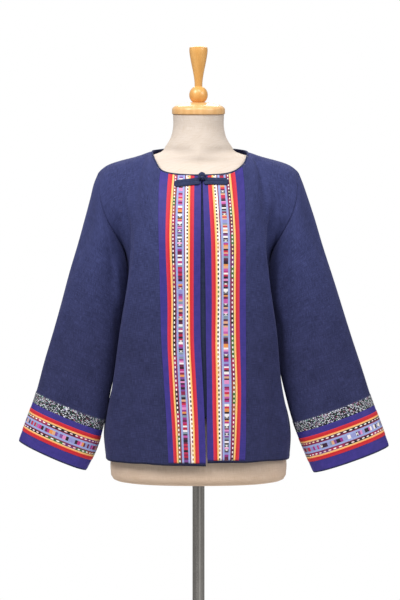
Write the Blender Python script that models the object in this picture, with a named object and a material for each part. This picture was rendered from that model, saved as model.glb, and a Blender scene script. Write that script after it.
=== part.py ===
# Embroidered jacket with ribbon fronts and cuffs, worn on a limbless dress form.
# Tables and sizes are in millimetres, +Z is up, the front faces -Y and the floor is Z = 0.
# Each cloth piece is a wall built from a grid of points on its middle surface, moved in and out.
# Wearer's right is at -X. Surface functions work on the +X half and SIDES mirrors them.

from functools import lru_cache
from math import atan, cos, pi, radians, sin, tan

import bmesh
import bpy
import numpy as np

MM = 0.001
SIDES = {"right": -1.0, "left": 1.0}

# Cloth walls and the gaps between them
PANEL_WALL = 1.6
TRIM_WALL = 1.0
SEAM_GAP = 0.4
LAYER_GAP = 0.3
SHARP_ANGLE = 35.0

# Heights of the jacket
HEM_HEIGHT = 741.0
UNDERARM_HEIGHT = 1150.0
NECK_HEIGHT = 1301.0
NECK_HALF_WIDTH = 94.0
HEM_BORDER = 5.5

# Trim lines measured from the front edge: violet border, two halves of the ribbon, violet border
# Columns: height, then the distance of each line
BAND_STEPS = (
    (741, 0.0, 12.5, 37.0, 61.5, 71.5),
    (860, 0.0, 13.0, 38.5, 64.0, 75.5),
    (980, 0.0, 13.5, 40.0, 66.5, 79.5),
    (1150, 0.0, 13.5, 40.5, 67.5, 81.0),
)
BAND_STRIPS = 4
BAND_WIDTH = BAND_STEPS[-1][-1]
BAND_TOP_SHARE = 0.975

# Grid steps
LOWER_ROWS = 12
UPPER_ROWS = 9
NECK_STRIPS = 4
SHOULDER_STRIPS = 6
BACK_NECK_STRIPS = 5
SLEEVE_SEGMENTS = 20

# Jacket body, level by level up to the underarm
# Columns: height, half width, front, back, front boxiness, back boxiness, side tuck
BODY = (
    (741, 181.0, 126, 124, 2.5, 2.4, 0),
    (775, 183.5, 126, 124, 2.5, 2.4, 0),
    (800, 183.0, 126, 123, 2.5, 2.4, 0),
    (850, 176.0, 125, 120, 2.6, 2.4, 3),
    (880, 171.5, 124, 117, 2.7, 2.4, 8),
    (920, 167.5, 123, 112, 2.8, 2.4, 11),
    (960, 164.5, 122, 106, 2.9, 2.5, 12),
    (1000, 160.5, 122, 101, 3.0, 2.5, 12),
    (1060, 152.0, 124, 97, 3.1, 2.6, 11),
    (1110, 145.5, 126, 99, 3.1, 2.6, 6),
    (1150, 143.5, 127, 103, 3.0, 2.6, 0),
)
TUCK_MIDDLE = -15.0
TUCK_REACH = 45.0

# How much further out the wearer's right side hangs
# Columns: height, extra half width
RIGHT_EASE = (
    (741, 2.5),
    (775, 4.0),
    (830, 5.0),
    (860, 6.5),
    (890, 7.0),
    (920, 5.5),
    (960, 3.5),
    (1000, 2.0),
    (1060, 0.5),
    (1110, 0.0),
)

# How far below a place its slope is taken
SLOPE_STEP = 20.0

# Where each front edge runs, as a distance to the wearer's left of the centre
# Columns: height, right front, left front
FRONT_EDGES = (
    (741, 14.4, 17.2),
    (820, 12.4, 16.3),
    (900, 8.6, 15.9),
    (980, 4.8, 14.4),
    (1060, 3.8, 13.8),
    (1150, 4.2, 12.0),
    (1301, 5.2, 8.2),
)

# Neck and shoulder lines, from the centre outwards on the +X half
# Columns: x, y, z
FRONT_NECK = (
    (-30, -87.5, 1302.0),
    (0, -90.0, 1301.0),
    (28, -88.0, 1302.0),
    (55, -79.0, 1305.5),
    (74, -64.0, 1313.5),
    (84, -46.0, 1328.0),
    (91, -24.0, 1344.0),
    (94, 2.0, 1356.5),
)
BACK_NECK = (
    (0, 66.0, 1369.0),
    (28, 64.0, 1368.5),
    (52, 56.0, 1367.0),
    (74, 42.0, 1364.0),
    (88, 23.0, 1360.5),
    (94, 2.0, 1356.5),
)
SHOULDER = (
    (94, 2.0, 1356.5),
    (128, 1.5, 1345.5),
    (160, 1.0, 1337.0),
    (182, 0.5, 1329.0),
    (199, 0.0, 1315.5),
)
FRONT_ARMHOLE = (
    (143.5, 0.0, 1150.0),
    (150, -19.0, 1163.0),
    (164, -40.0, 1188.0),
    (181, -54.0, 1220.0),
    (192, -52.0, 1254.0),
    (197, -33.0, 1290.0),
    (199, 0.0, 1315.5),
)
BACK_ARMHOLE = (
    (143.5, 0.0, 1150.0),
    (150, 20.0, 1163.0),
    (164, 41.0, 1188.0),
    (180, 54.0, 1220.0),
    (190, 53.0, 1254.0),
    (196, 34.0, 1290.0),
    (199, 0.0, 1315.5),
)

# How the upper body bends from the underarm level to its top line, by position across the panel
# Columns: across, lower pull, upper pull, sideways, inward, rise
FRONT_BEND = (
    (0.0, 55, 40, 0.00, 0.50, 0.86),
    (0.29, 60, 48, 0.12, 0.62, 0.76),
    (0.57, 75, 60, 0.50, 0.80, 0.33),
    (0.8, 70, 60, 0.15, 1.00, 0.08),
    (1.0, 60, 50, 0.00, 1.00, 0.05),
)
BACK_BEND = (
    (0.0, 85, 60, 0.00, 0.55, 0.83),
    (0.25, 85, 60, 0.20, 0.60, 0.75),
    (0.45, 80, 60, 0.50, 0.80, 0.33),
    (0.75, 70, 60, 0.12, 1.00, 0.08),
    (1.0, 60, 50, 0.00, 1.00, 0.05),
)

# Sleeve sections from the cuff up to the armhole
# Columns: distance from the cuff, outer x and z, inner x and z, middle y, half depth
SLEEVES = {
    "right": (
        (0, 354.2, 782.2, 222.6, 724.6, -32, 34),
        (45, 339.2, 823.9, 203.5, 764.5, -31, 35),
        (110, 318.3, 884.5, 185.5, 825.4, -28, 38),
        (170, 303.5, 942.2, 173.5, 883.7, -24, 41),
        (230, 287.5, 999.2, 162.0, 942.2, -20, 45),
        (295, 270.0, 1061.6, 153.0, 1006.3, -16, 50),
        (360, 253.5, 1123.4, 144.8, 1060.6, -12, 54),
        (420, 236.8, 1180.9, 143.8, 1104.0, -8, 57),
        (465, 225.2, 1224.5, 145.8, 1127.0, -5, 59),
        (505, 215.2, 1263.4, 147.2, 1140.0, -3, 60),
        (535, 208.5, 1292.0, 147.0, 1147.0, -1, 60),
        (565, 199.0, 1315.5, 143.5, 1150.0, 0, 60),
    ),
    "left": (
        (0, 375.5, 772.3, 227.9, 720.1, -32, 34),
        (45, 360.8, 814.1, 211.0, 760.6, -31, 35),
        (110, 338.8, 874.4, 187.0, 820.2, -28, 38),
        (170, 321.1, 930.7, 171.5, 877.0, -24, 41),
        (230, 303.5, 987.4, 159.5, 935.0, -20, 45),
        (300, 283.0, 1053.0, 151.8, 1003.0, -16, 50),
        (365, 263.5, 1115.0, 145.2, 1058.0, -12, 54),
        (428, 244.5, 1175.5, 143.8, 1102.0, -8, 57),
        (480, 230.0, 1225.3, 145.8, 1127.0, -5, 59),
        (522, 217.0, 1266.0, 147.2, 1140.0, -3, 60),
        (552, 208.0, 1293.0, 147.0, 1147.0, -1, 60),
        (582, 199.0, 1315.5, 143.5, 1150.0, 0, 60),
    ),
}
SLEEVE_RINGS_ABOVE_CUFF = 12
SLEEVE_BOXINESS = 2.15
ARMHOLE_OUTWARD = (0.958, 0.0, -0.286)
ARMHOLE_FADE = 110.0
CAP_GAP = 0.9
UNDERARM_GAP = 2.9

# The largest folds. Each runs straight between two places on its piece and pushes the cloth out (or in,
# where push is negative). Across is a share of the piece's width: from the front edge on a front, from the
# wearer's right on the back, and round from the outer side by the front on a sleeve. Up is 0 at the hem.
# Columns: low across, low up, high across, high up, push, spread
FOLDS = {
    "front_right": (
        (0.80, -0.30, 0.70, 0.72, 4.0, 0.07),
        (0.64, -0.25, 0.58, 0.60, -3.0, 0.07),
        (0.46, -0.25, 0.48, 0.40, -3.0, 0.05),
        (0.55, 0.60, 0.86, 0.90, -3.5, 0.06),
    ),
    "front_left": (
        (0.76, -0.20, 0.70, 0.74, 4.0, 0.07),
        (0.60, -0.30, 0.58, 0.55, -3.0, 0.07),
        (0.97, -0.06, 0.76, 0.16, -4.0, 0.05),
        (0.56, 0.58, 0.86, 0.88, -3.5, 0.06),
    ),
    "back": (
        (0.20, -0.25, 0.24, 0.66, 4.0, 0.035),
        (0.31, -0.30, 0.30, 0.60, -5.0, 0.04),
        (0.44, -0.20, 0.46, 0.45, 3.0, 0.05),
        (0.62, -0.25, 0.60, 0.55, -4.5, 0.04),
        (0.71, -0.30, 0.72, 0.68, 4.0, 0.04),
        (0.83, -0.20, 0.80, 0.62, -4.0, 0.035),
    ),
    "sleeve_right": (
        (0.23, 0.42, 0.20, 0.98, 4.5, 0.045),
        (0.33, 0.50, 0.31, 0.97, -5.5, 0.045),
        (0.12, 0.30, 0.16, 0.62, -3.0, 0.045),
        (0.68, 0.30, 0.72, 0.96, -6.0, 0.05),
        (0.80, 0.25, 0.82, 0.80, 4.0, 0.05),
    ),
    "sleeve_left": (
        (0.24, 0.45, 0.22, 0.98, 4.5, 0.045),
        (0.34, 0.46, 0.32, 0.96, -5.5, 0.045),
        (0.13, 0.18, 0.17, 0.52, -3.0, 0.045),
        (0.70, 0.36, 0.71, 0.96, -6.0, 0.05),
        (0.79, 0.20, 0.83, 0.76, 4.0, 0.05),
    ),
}
SEAM_CALM = 0.09
UNDERARM_UP = 0.66

# Cuff trim, as distances up from the cuff edge
CUFF_BORDER = 2.5
CUFF_RIBBON = (23.5, 74.5)
CUFF_BAND_TOP = 86.5
CUFF_STITCHING_TOP = 109.5
CUFF_LINES = (0.0, CUFF_BORDER, 23.5, 40.5, 57.5, 74.5, CUFF_BAND_TOP, CUFF_STITCHING_TOP)

# Neck piping, and how far below the neck edge the trims stop
PIPING_RADIUS = 2.3
PIPING_SIDES = 6
PIPING_GAP = 0.6
PIPING_LEAN = 0.5
PIPING_SIDE_LEAN = 0.93
TRIM_STOP = 1.6

# Frog fastening
KNOT_RADIUS = 7.3
KNOT_END_ANGLE = 8.0
KNOT_HALF_HEIGHT = 9.0
KNOT_X = 6.8
KNOT_HEIGHT = 1296.0
BAR_START = 7.5
KNOT_REST = 1.2
BAR_REACH = {"right": 48.0, "left": 47.0}
BAR_HEIGHT = 1287.0
BAR_HALF_HEIGHT = 7.0
BAR_THICKNESS = 4.6
BAR_STEPS = 8
BAR_END_TAPER = 0.35
BAR_PROFILE = (0.35, 0.85, 0.95, 0.55, 0.95, 0.85, 0.35)

# Underlap strip behind the opening
UNDERLAP = {"left_of_centre": 30.0, "right_of_centre": 12.0, "bottom": 834.0, "top_share": 0.94}
UNDERLAP_GAP = 1.3
UNDERLAP_STRIPS = 4

# Dress form, level by level
# Columns: height, half width, front, back, boxiness, tilt of the ring in degrees
FORM = (
    (699, 150, 90, 90, 2.3, 0),
    (701.5, 163, 102, 102, 2.3, 0),
    (708, 172, 110, 110, 2.3, 0),
    (720, 175, 112, 112, 2.3, 0),
    (750, 175, 113, 113, 2.3, 0),
    (800, 172, 113, 112, 2.3, 0),
    (860, 159, 108, 107, 2.3, 0),
    (920, 142, 99, 97, 2.3, 0),
    (980, 124, 92, 86, 2.3, 0),
    (1030, 115, 91, 80, 2.3, 0),
    (1080, 119, 99, 82, 2.3, 0),
    (1130, 130, 112, 89, 2.3, 0),
    (1165, 136, 117, 94, 2.3, 0),
    (1200, 139, 113, 98, 2.2, 0),
    (1240, 144, 101, 98, 2.1, 0),
    (1270, 157, 91, 92, 1.8, 0),
    (1295, 168, 81, 83, 1.55, 0),
    (1310, 169, 72, 75, 1.4, 0),
    (1322, 166, 61, 66, 1.35, 0),
    (1332, 160, 56, 60, 1.2, 0),
    (1341, 139, 56, 56, 1.1, 0),
    (1349, 97, 52, 50, 1.15, 0),
    (1356, 75, 52, 49, 1.6, 1),
    (1366, 67, 51, 48, 2, 4),
    (1384, 56, 50, 45, 2, 6),
    (1404, 51, 50, 43, 2, 8),
    (1431, 51, 53, 47, 2, 8),
)
FORM_SEGMENTS = 24
NECK_TILT = 8.0
NECK_MIDDLE = -3.0

# Wooden cap and handle: radius and height above the cap's underside
CAP_RADIUS = 53.0
CAP_EDGE = 9.0
CAP_DOME = 15.0
CAP_TOP_ANGLE = 76.0
CAP_ROUNDING = 1.5
BALL_RADIUS = 18.5
BALL_CUT = 12.0
# Columns: radius, height above the foot of the ball
HANDLE = (
    (7.65, 37.0),
    (8.6, 45.5),
    (11.0, 60.0),
    (14.2, 75.5),
    (17.0, 91.0),
    (18.2, 101.5),
    (17.9, 106.0),
    (15.6, 109.3),
    (9.0, 110.8),
)

# Stand
POLE_RADIUS = 12.0
BASE_RADIUS = 190.0
BASE_THICKNESS = 16.0
BASE_BEVEL = 4.0
COLLAR_HEIGHT = 52.0
COLLAR_FOOT_RADIUS = 34.0
COLLAR_TOP_RADIUS = 19.0
COLLAR_FOOT_THICKNESS = 6.0
COLLAR_SHOULDER = 16.0

# Finishes: red, green, blue, roughness, metallic
COLOURS = {
    "navy_cloth": (0.045, 0.050, 0.140, 0.9, 0.0),
    "violet_band": (0.075, 0.045, 0.400, 0.7, 0.0),
    "woven_ribbon": (0.650, 0.140, 0.110, 0.7, 0.0),
    "stitched_strip": (0.100, 0.110, 0.130, 0.9, 0.0),
    "form_linen": (0.840, 0.780, 0.690, 0.9, 0.0),
    "turned_wood": (0.740, 0.430, 0.160, 0.4, 0.0),
    "brushed_steel": (0.450, 0.440, 0.420, 0.3, 1.0),
    "dark_base": (0.060, 0.060, 0.065, 0.45, 0.3),
}


# Tables and curves


def row_at(table, key):
    """The table's other columns at a key, on a smooth curve through its rows."""
    rows = np.array(table, dtype=float)
    keys = rows[:, 0]
    key = min(max(key, keys[0]), keys[-1])
    slopes = np.gradient(rows[:, 1:], keys, axis=0)
    i = int(min(max(np.searchsorted(keys, key) - 1, 0), len(keys) - 2))
    step = keys[i + 1] - keys[i]
    t = (key - keys[i]) / step
    low, high = rows[i, 1:], rows[i + 1, 1:]
    rise = (1 + 2 * t) * (1 - t) ** 2 * low + t * t * (3 - 2 * t) * high
    return rise + step * (t * (1 - t) ** 2 * slopes[i] - t * t * (1 - t) * slopes[i + 1])


def lengths_along(points):
    steps = np.linalg.norm(np.diff(points, axis=0), axis=1)
    return np.concatenate(([0.0], np.cumsum(steps)))


def point_along(points, distance):
    """The point at a distance along a line of points."""
    lengths = lengths_along(points)
    return np.array([np.interp(distance, lengths, column) for column in points.T])


@lru_cache
def smooth_line(table, steps=12):
    """A fine line of points through a short table of x, y, z."""
    rows = np.array(table, dtype=float)
    keyed = np.column_stack((lengths_along(rows), rows))
    keys = np.linspace(0.0, keyed[-1, 0], steps * (len(rows) - 1) + 1)
    return np.array([row_at(keyed, key) for key in keys])


def share_along(points, share):
    return point_along(points, share * lengths_along(points)[-1])


# Jacket body


@lru_cache
def front_edge(side, height):
    right, left = row_at(FRONT_EDGES, height)
    return -right if side == "right" else left


@lru_cache
def half_section(side, height, back, start=0.0, steps=90):
    """Half of a level section on the +X side, from `start` across to the side seam."""
    half_width, front, rear, front_boxiness, back_boxiness, tuck = row_at(BODY, height)
    if side == "right":
        half_width += row_at(RIGHT_EASE, height)[0]
    depth = rear if back else -front
    boxiness = back_boxiness if back else front_boxiness
    angles = np.linspace(0.0, pi / 2, steps)
    x = half_width * np.sin(angles) ** (2 / boxiness)
    if start != 0.0:
        x = np.concatenate(([start], x[x > max(start, 0.0)]))
        if start < 0.0:
            x = np.insert(x, 1, 0.0)
    y = depth * np.maximum(1 - np.abs(x / half_width) ** boxiness, 0.0) ** (1 / boxiness)
    x = x - tuck * np.exp(-(((y - TUCK_MIDDLE) / TUCK_REACH) ** 2))
    return np.column_stack((x, y, np.full(len(x), float(height))))


FRONT_STRIPS = BAND_STRIPS + NECK_STRIPS + SHOULDER_STRIPS
BACK_STRIPS = BACK_NECK_STRIPS + SHOULDER_STRIPS


def front_distance(station, full, height):
    """Distance from the front edge of a station that counts strips across the front."""
    steps = row_at(BAND_STEPS, height)
    if station <= BAND_STRIPS:
        return float(np.interp(station, range(BAND_STRIPS + 1), steps))
    share = (station - BAND_STRIPS) / (FRONT_STRIPS - BAND_STRIPS)
    return steps[-1] + share * (full - steps[-1])


def lower_front(side, station, height):
    section = half_section(side, height, back=False, start=front_edge(side, height))
    return point_along(section, front_distance(station, lengths_along(section)[-1], height))


def lower_back(side, station, height):
    section = half_section(side, height, back=True)
    return share_along(section, station / BACK_STRIPS)


def front_top(side, station):
    """Where a front station ends on the neckline or the shoulder."""
    neck = smooth_line(FRONT_NECK)
    edge = front_edge(side, NECK_HEIGHT)
    if station <= BAND_STRIPS:
        x = edge + BAND_TOP_SHARE * front_distance(station, 0.0, NECK_HEIGHT)
        return np.array([x, np.interp(x, neck[:, 0], neck[:, 1]), np.interp(x, neck[:, 0], neck[:, 2])])
    lengths = lengths_along(neck)
    band_end = np.interp(edge + BAND_TOP_SHARE * BAND_WIDTH, neck[:, 0], lengths)
    if station <= BAND_STRIPS + NECK_STRIPS:
        share = (station - BAND_STRIPS) / NECK_STRIPS
        return point_along(neck, band_end + share * (lengths[-1] - band_end))
    return share_along(smooth_line(SHOULDER), (station - BAND_STRIPS - NECK_STRIPS) / SHOULDER_STRIPS)


def back_top(station):
    if station <= BACK_NECK_STRIPS:
        return share_along(smooth_line(BACK_NECK), station / BACK_NECK_STRIPS)
    return share_along(smooth_line(SHOULDER), (station - BACK_NECK_STRIPS) / SHOULDER_STRIPS)


def bent_column(foot, foot_direction, top, bend, inward_sign, share):
    """A point on the curve from the underarm level over the chest or shoulder blade."""
    lower_pull, upper_pull, sideways, inward, rise = bend
    arrival = np.array([-sideways, inward_sign * inward, rise])
    arrival /= np.linalg.norm(arrival)
    first = foot + lower_pull * foot_direction / np.linalg.norm(foot_direction)
    second = top - upper_pull * arrival
    t = share
    return (1 - t) ** 3 * foot + 3 * t * (1 - t) ** 2 * first + 3 * t * t * (1 - t) * second + t**3 * top


def toward_armhole(station, strips, first_strip):
    """How far a station follows the armhole line: 0 near the neck, 1 at the armhole."""
    return max(0.0, (station - first_strip) / (strips - first_strip)) ** 2


def upper_front(side, station, share):
    foot = lower_front(side, station, UNDERARM_HEIGHT)
    direction = foot - lower_front(side, station, UNDERARM_HEIGHT - SLOPE_STEP)
    bend = row_at(FRONT_BEND, station / FRONT_STRIPS)
    point = bent_column(foot, direction, front_top(side, station), bend, 1.0, share)
    pull = toward_armhole(station, FRONT_STRIPS, FRONT_STRIPS - SHOULDER_STRIPS)
    if pull > 0.0:
        foot = lower_front(side, FRONT_STRIPS, UNDERARM_HEIGHT)
        direction = foot - lower_front(side, FRONT_STRIPS, UNDERARM_HEIGHT - SLOPE_STEP)
        edge_bend = row_at(FRONT_BEND, 1.0)
        edge = bent_column(foot, direction, front_top(side, FRONT_STRIPS), edge_bend, 1.0, share)
        point = point + pull * (share_along(smooth_line(FRONT_ARMHOLE), share) - edge)
    return point


def upper_back(side, station, share):
    foot = lower_back(side, station, UNDERARM_HEIGHT)
    direction = foot - lower_back(side, station, UNDERARM_HEIGHT - SLOPE_STEP)
    bend = row_at(BACK_BEND, station / BACK_STRIPS)
    point = bent_column(foot, direction, back_top(station), bend, -1.0, share)
    pull = toward_armhole(station, BACK_STRIPS, BACK_NECK_STRIPS)
    if pull > 0.0:
        foot = lower_back(side, BACK_STRIPS, UNDERARM_HEIGHT)
        direction = foot - lower_back(side, BACK_STRIPS, UNDERARM_HEIGHT - SLOPE_STEP)
        edge = bent_column(foot, direction, back_top(BACK_STRIPS), row_at(BACK_BEND, 1.0), -1.0, share)
        point = point + pull * (share_along(smooth_line(BACK_ARMHOLE), share) - edge)
    return point


def body_heights():
    above = np.linspace(HEM_HEIGHT + HEM_BORDER, UNDERARM_HEIGHT, LOWER_ROWS)
    return [HEM_HEIGHT, *above]


def body_grid(columns, lower, upper):
    """Grid of points: one line of points up the panel for each station across it."""
    shares = np.linspace(0.0, 1.0, UPPER_ROWS + 1)[1:]
    lines = []
    for station in columns:
        below = [lower(station, height) for height in body_heights()]
        lines.append(below + [upper(station, share) for share in shares])
    return np.array(lines)


def half_grid(side, strips, lower, upper):
    grid = body_grid(
        range(strips + 1),
        lambda station, height: lower(side, station, height),
        lambda station, share: upper(side, station, share),
    )
    grid[:, :, 0] *= SIDES[side]
    return grid


def front_grid(side):
    return half_grid(side, FRONT_STRIPS, lower_front, upper_front)


def back_grid():
    right, left = (half_grid(side, BACK_STRIPS, lower_back, upper_back) for side in SIDES)
    return np.concatenate((right[:0:-1], left))


# Walls


def grid_normals(grid, outward, closed=False):
    """Unit normals of a grid; `outward` is +1 or -1 and turns them to the outside."""
    if closed:
        across = np.roll(grid, -1, axis=0) - np.roll(grid, 1, axis=0)
    else:
        across = np.gradient(grid, axis=0)
    normals = np.cross(across, np.gradient(grid, axis=1)) * outward
    return normals / np.linalg.norm(normals, axis=2, keepdims=True)


def fold_push(piece, across, up):
    """How far the folds push a place on a piece outwards."""
    total = 0.0
    for low_across, low_up, high_across, high_up, push, spread in FOLDS[piece]:
        share = (up - low_up) / (high_up - low_up)
        if 0.0 < share < 1.0:
            middle = low_across + share * (high_across - low_across)
            total += push * sin(pi * share) * np.exp(-(((across - middle) / spread) ** 2))
    return total


def add_folds(piece, grid, normals, ups, closed=False):
    """Pushes a grid along its normals, calm along the seams with other panels."""
    columns = grid.shape[0]
    folded = grid.copy()
    for i in range(columns):
        across = i / columns if closed else i / (columns - 1)
        sides = 1.0 if closed else min(1.0, (1 - across) / SEAM_CALM)
        if piece == "back":
            sides *= min(1.0, across / SEAM_CALM)
        for j, up in enumerate(ups):
            calm = sides * min(1.0, (1 - up) / SEAM_CALM)
            folded[i, j] += normals[i, j] * calm * fold_push(piece, across, up)
    return folded


def body_ups():
    lower = [UNDERARM_UP * (z - HEM_HEIGHT) / (UNDERARM_HEIGHT - HEM_HEIGHT) for z in body_heights()]
    return lower + [UNDERARM_UP + (1 - UNDERARM_UP) * (row + 1) / UPPER_ROWS for row in range(UPPER_ROWS)]


def pull_in(grid, edges, gap=SEAM_GAP / 2):
    """Moves the named edges of a grid into the panel, to leave a seam gap."""
    grid = grid.copy()
    places = {"first": (0, 1), "last": (-1, -2)}
    for edge in edges:
        line, end = edge.split()
        rim, inner = places[end]
        view = grid if line == "column" else grid.transpose(1, 0, 2)
        step = view[inner] - view[rim]
        view[rim] += gap * step / np.linalg.norm(step, axis=1, keepdims=True)
    return grid


def level_seam(normals, along):
    """Turns the normals of a seam line square to the front-back direction, so both sides match."""
    normals = normals.copy()
    normals[along][..., 1] = 0.0
    normals[along] /= np.linalg.norm(normals[along], axis=-1, keepdims=True)
    return normals


def make_object(name, vertices, faces, material):
    mesh = bpy.data.meshes.new(name)
    mesh.from_pydata([tuple(point) for point in np.asarray(vertices) * MM], [], faces)
    shape = bmesh.new()
    shape.from_mesh(mesh)
    bmesh.ops.recalc_face_normals(shape, faces=shape.faces)
    shape.to_mesh(mesh)
    shape.free()
    mesh.shade_smooth()
    mesh.set_sharp_from_angle(angle=radians(SHARP_ANGLE))
    mesh.materials.append(MATERIALS[material])
    piece = bpy.data.objects.new(name, mesh)
    bpy.context.scene.collection.objects.link(piece)
    return piece


def make_wall(name, grid, normals, low, high, material, closed=False):
    """A closed wall between two offsets of a grid, with rims all round."""
    columns, rows = grid.shape[:2]
    vertices = np.concatenate([(grid + offset * normals).reshape(-1, 3) for offset in (low, high)])
    layer = columns * rows

    def at(side, column, row):
        return side * layer + (column % columns) * rows + row

    faces = []
    spans = columns if closed else columns - 1
    for column in range(spans):
        for row in range(rows - 1):
            for side in (0, 1):
                a, b = at(side, column, row), at(side, column + 1, row)
                c, d = at(side, column + 1, row + 1), at(side, column, row + 1)
                faces += [(a, b, c), (a, c, d)] if side else [(c, b, a), (d, c, a)]
        for row, turn in ((0, False), (rows - 1, True)):
            corners = ((0, column), (0, column + 1), (1, column + 1), (1, column))
            rim = tuple(at(side, across, row) for side, across in corners)
            faces.append(rim[::-1] if turn else rim)
    if not closed:
        for column, turn in ((0, True), (columns - 1, False)):
            for row in range(rows - 1):
                corners = ((0, row), (0, row + 1), (1, row + 1), (1, row))
                rim = tuple(at(side, column, up) for side, up in corners)
                faces.append(rim if turn else rim[::-1])
    return make_object(name, vertices, faces, material)


def layer_offsets(layer):
    """Inner and outer offset of a layer: 0 is the panel, then each trim lying on it."""
    low = -PANEL_WALL / 2
    high = PANEL_WALL / 2
    for _ in range(layer):
        low = high + LAYER_GAP
        high = low + TRIM_WALL
    return low, high


# Sleeves


def armhole_loop(angle):
    """Point of the armhole on the +X half; angle 0 is the shoulder and pi the underarm."""
    front = angle <= pi
    share = 1 - (angle / pi if front else (2 * pi - angle) / pi)
    return share_along(smooth_line(FRONT_ARMHOLE if front else BACK_ARMHOLE), share)


def oval_ring(row, angle):
    outer_x, outer_z, inner_x, inner_z, mid_y, half_depth = row
    middle = np.array([(outer_x + inner_x) / 2, mid_y, (outer_z + inner_z) / 2])
    reach = np.array([(outer_x - inner_x) / 2, 0.0, (outer_z - inner_z) / 2])
    power = 2 / SLEEVE_BOXINESS
    wide = np.sign(cos(angle)) * abs(cos(angle)) ** power
    deep = np.sign(sin(angle)) * abs(sin(angle)) ** power
    return middle + wide * reach - np.array([0.0, deep * half_depth, 0.0])


def sleeve_stations(side):
    top = SLEEVES[side][-1][0]
    above = np.linspace(0.0, 1.0, SLEEVE_RINGS_ABOVE_CUFF + 1)[1:]
    return [*CUFF_LINES, *(CUFF_STITCHING_TOP + (top - CUFF_STITCHING_TOP) * above)]


def sleeve_grid(side):
    table = SLEEVES[side]
    top = table[-1][0]
    grid = []
    for angle in np.linspace(0.0, 2 * pi, SLEEVE_SEGMENTS, endpoint=False):
        under = sin(angle / 2) ** 6
        seam = np.array(ARMHOLE_OUTWARD) * (CAP_GAP + (UNDERARM_GAP - CAP_GAP) * under)
        change = armhole_loop(angle) + seam - oval_ring(row_at(table, top), angle)
        line = []
        for station in sleeve_stations(side):
            fade = max(0.0, 1 - (top - station) / ARMHOLE_FADE) ** 2
            line.append(oval_ring(row_at(table, station), angle) + fade * change)
        grid.append(line)
    grid = np.array(grid)
    grid[:, :, 0] *= SIDES[side]
    return grid


# Turned and swept shapes


def make_turned(name, profile, material, segments=24, foot=(0.0, 0.0, 0.0), tilt=0.0, ring=False):
    """A turned solid from (radius, height) pairs, bottom to top; `ring` closes the profile on itself."""
    angles = np.linspace(0.0, 2 * pi, segments, endpoint=False)
    lean = radians(tilt)
    vertices = []
    for radius, height in profile:
        for angle in angles:
            x, y = radius * cos(angle), radius * sin(angle)
            turned = (x, y * cos(lean) - height * sin(lean), y * sin(lean) + height * cos(lean))
            vertices.append(np.array(turned) + np.array(foot))
    faces = []
    spans = len(profile) if ring else len(profile) - 1
    for row in range(spans):
        for i in range(segments):
            j = (i + 1) % segments
            low, high = row * segments, (row + 1) % len(profile) * segments
            faces.append((low + i, low + j, high + j, high + i))
    if not ring:
        faces.append(tuple(range(segments))[::-1])
        faces.append(tuple((len(profile) - 1) * segments + i for i in range(segments)))
    return make_object(name, vertices, faces, material)


def make_tube(name, path, radius, sides, material):
    """A round tube with closed ends along a line of points."""
    path = np.array(path)
    tangents = np.gradient(path, axis=0)
    vertices = []
    for point, tangent in zip(path, tangents):
        first = np.cross(tangent, (0.0, 0.0, 1.0))
        first /= np.linalg.norm(first)
        second = np.cross(first, tangent) / np.linalg.norm(tangent)
        for angle in np.linspace(0.0, 2 * pi, sides, endpoint=False):
            vertices.append(point + radius * (cos(angle) * first + sin(angle) * second))
    faces = []
    for row in range(len(path) - 1):
        for i in range(sides):
            j = (i + 1) % sides
            low, high = row * sides, (row + 1) * sides
            faces.append((low + i, low + j, high + j, high + i))
    faces.append(tuple(range(sides))[::-1])
    faces.append(tuple((len(path) - 1) * sides + i for i in range(sides)))
    return make_object(name, vertices, faces, material)


# Materials


def make_materials():
    materials = {}
    for name, (red, green, blue, roughness, metallic) in COLOURS.items():
        material = bpy.data.materials.new(name)
        material.use_nodes = True
        shader = material.node_tree.nodes["Principled BSDF"]
        shader.inputs["Base Color"].default_value = (red, green, blue, 1.0)
        shader.inputs["Roughness"].default_value = roughness
        shader.inputs["Metallic"].default_value = metallic
        material.diffuse_color = (red, green, blue, 1.0)
        materials[name] = material
    return materials


# Jacket pieces


def make_fronts():
    for side, sign in SIDES.items():
        grid = front_grid(side)
        grid = add_folds(f"front_{side}", grid, grid_normals(grid, sign), body_ups())
        seams = level_seam(grid_normals(grid, sign), np.s_[-1, : LOWER_ROWS + 1])
        normals = level_seam(seams, np.s_[-SHOULDER_STRIPS - 1 :, -1])
        panel = pull_in(grid, ("column last", "row last"))
        make_wall(f"front_{side}", panel, normals, *layer_offsets(0), "navy_cloth")
        trim = pull_in(panel, ("row last",), TRIM_STOP)
        strips = (
            ("front_band", np.s_[: BAND_STRIPS + 1, 1:], 1, "violet_band"),
            ("front_ribbon", np.s_[1:BAND_STRIPS, 1:], 2, "woven_ribbon"),
        )
        for name, part, layer, material in strips:
            make_wall(f"{name}_{side}", trim[part], normals[part], *layer_offsets(layer), material)


def make_back():
    grid = back_grid()
    grid = add_folds("back", grid, grid_normals(grid, -1), body_ups())
    normals = grid_normals(grid, -1)
    for end in (0, -1):
        normals = level_seam(normals, np.s_[end, : LOWER_ROWS + 1])
    normals = level_seam(normals, np.s_[: SHOULDER_STRIPS + 1, -1])
    normals = level_seam(normals, np.s_[-SHOULDER_STRIPS - 1 :, -1])
    panel = pull_in(grid, ("column first", "column last", "row last"))
    make_wall("back", panel, normals, *layer_offsets(0), "navy_cloth")


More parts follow.
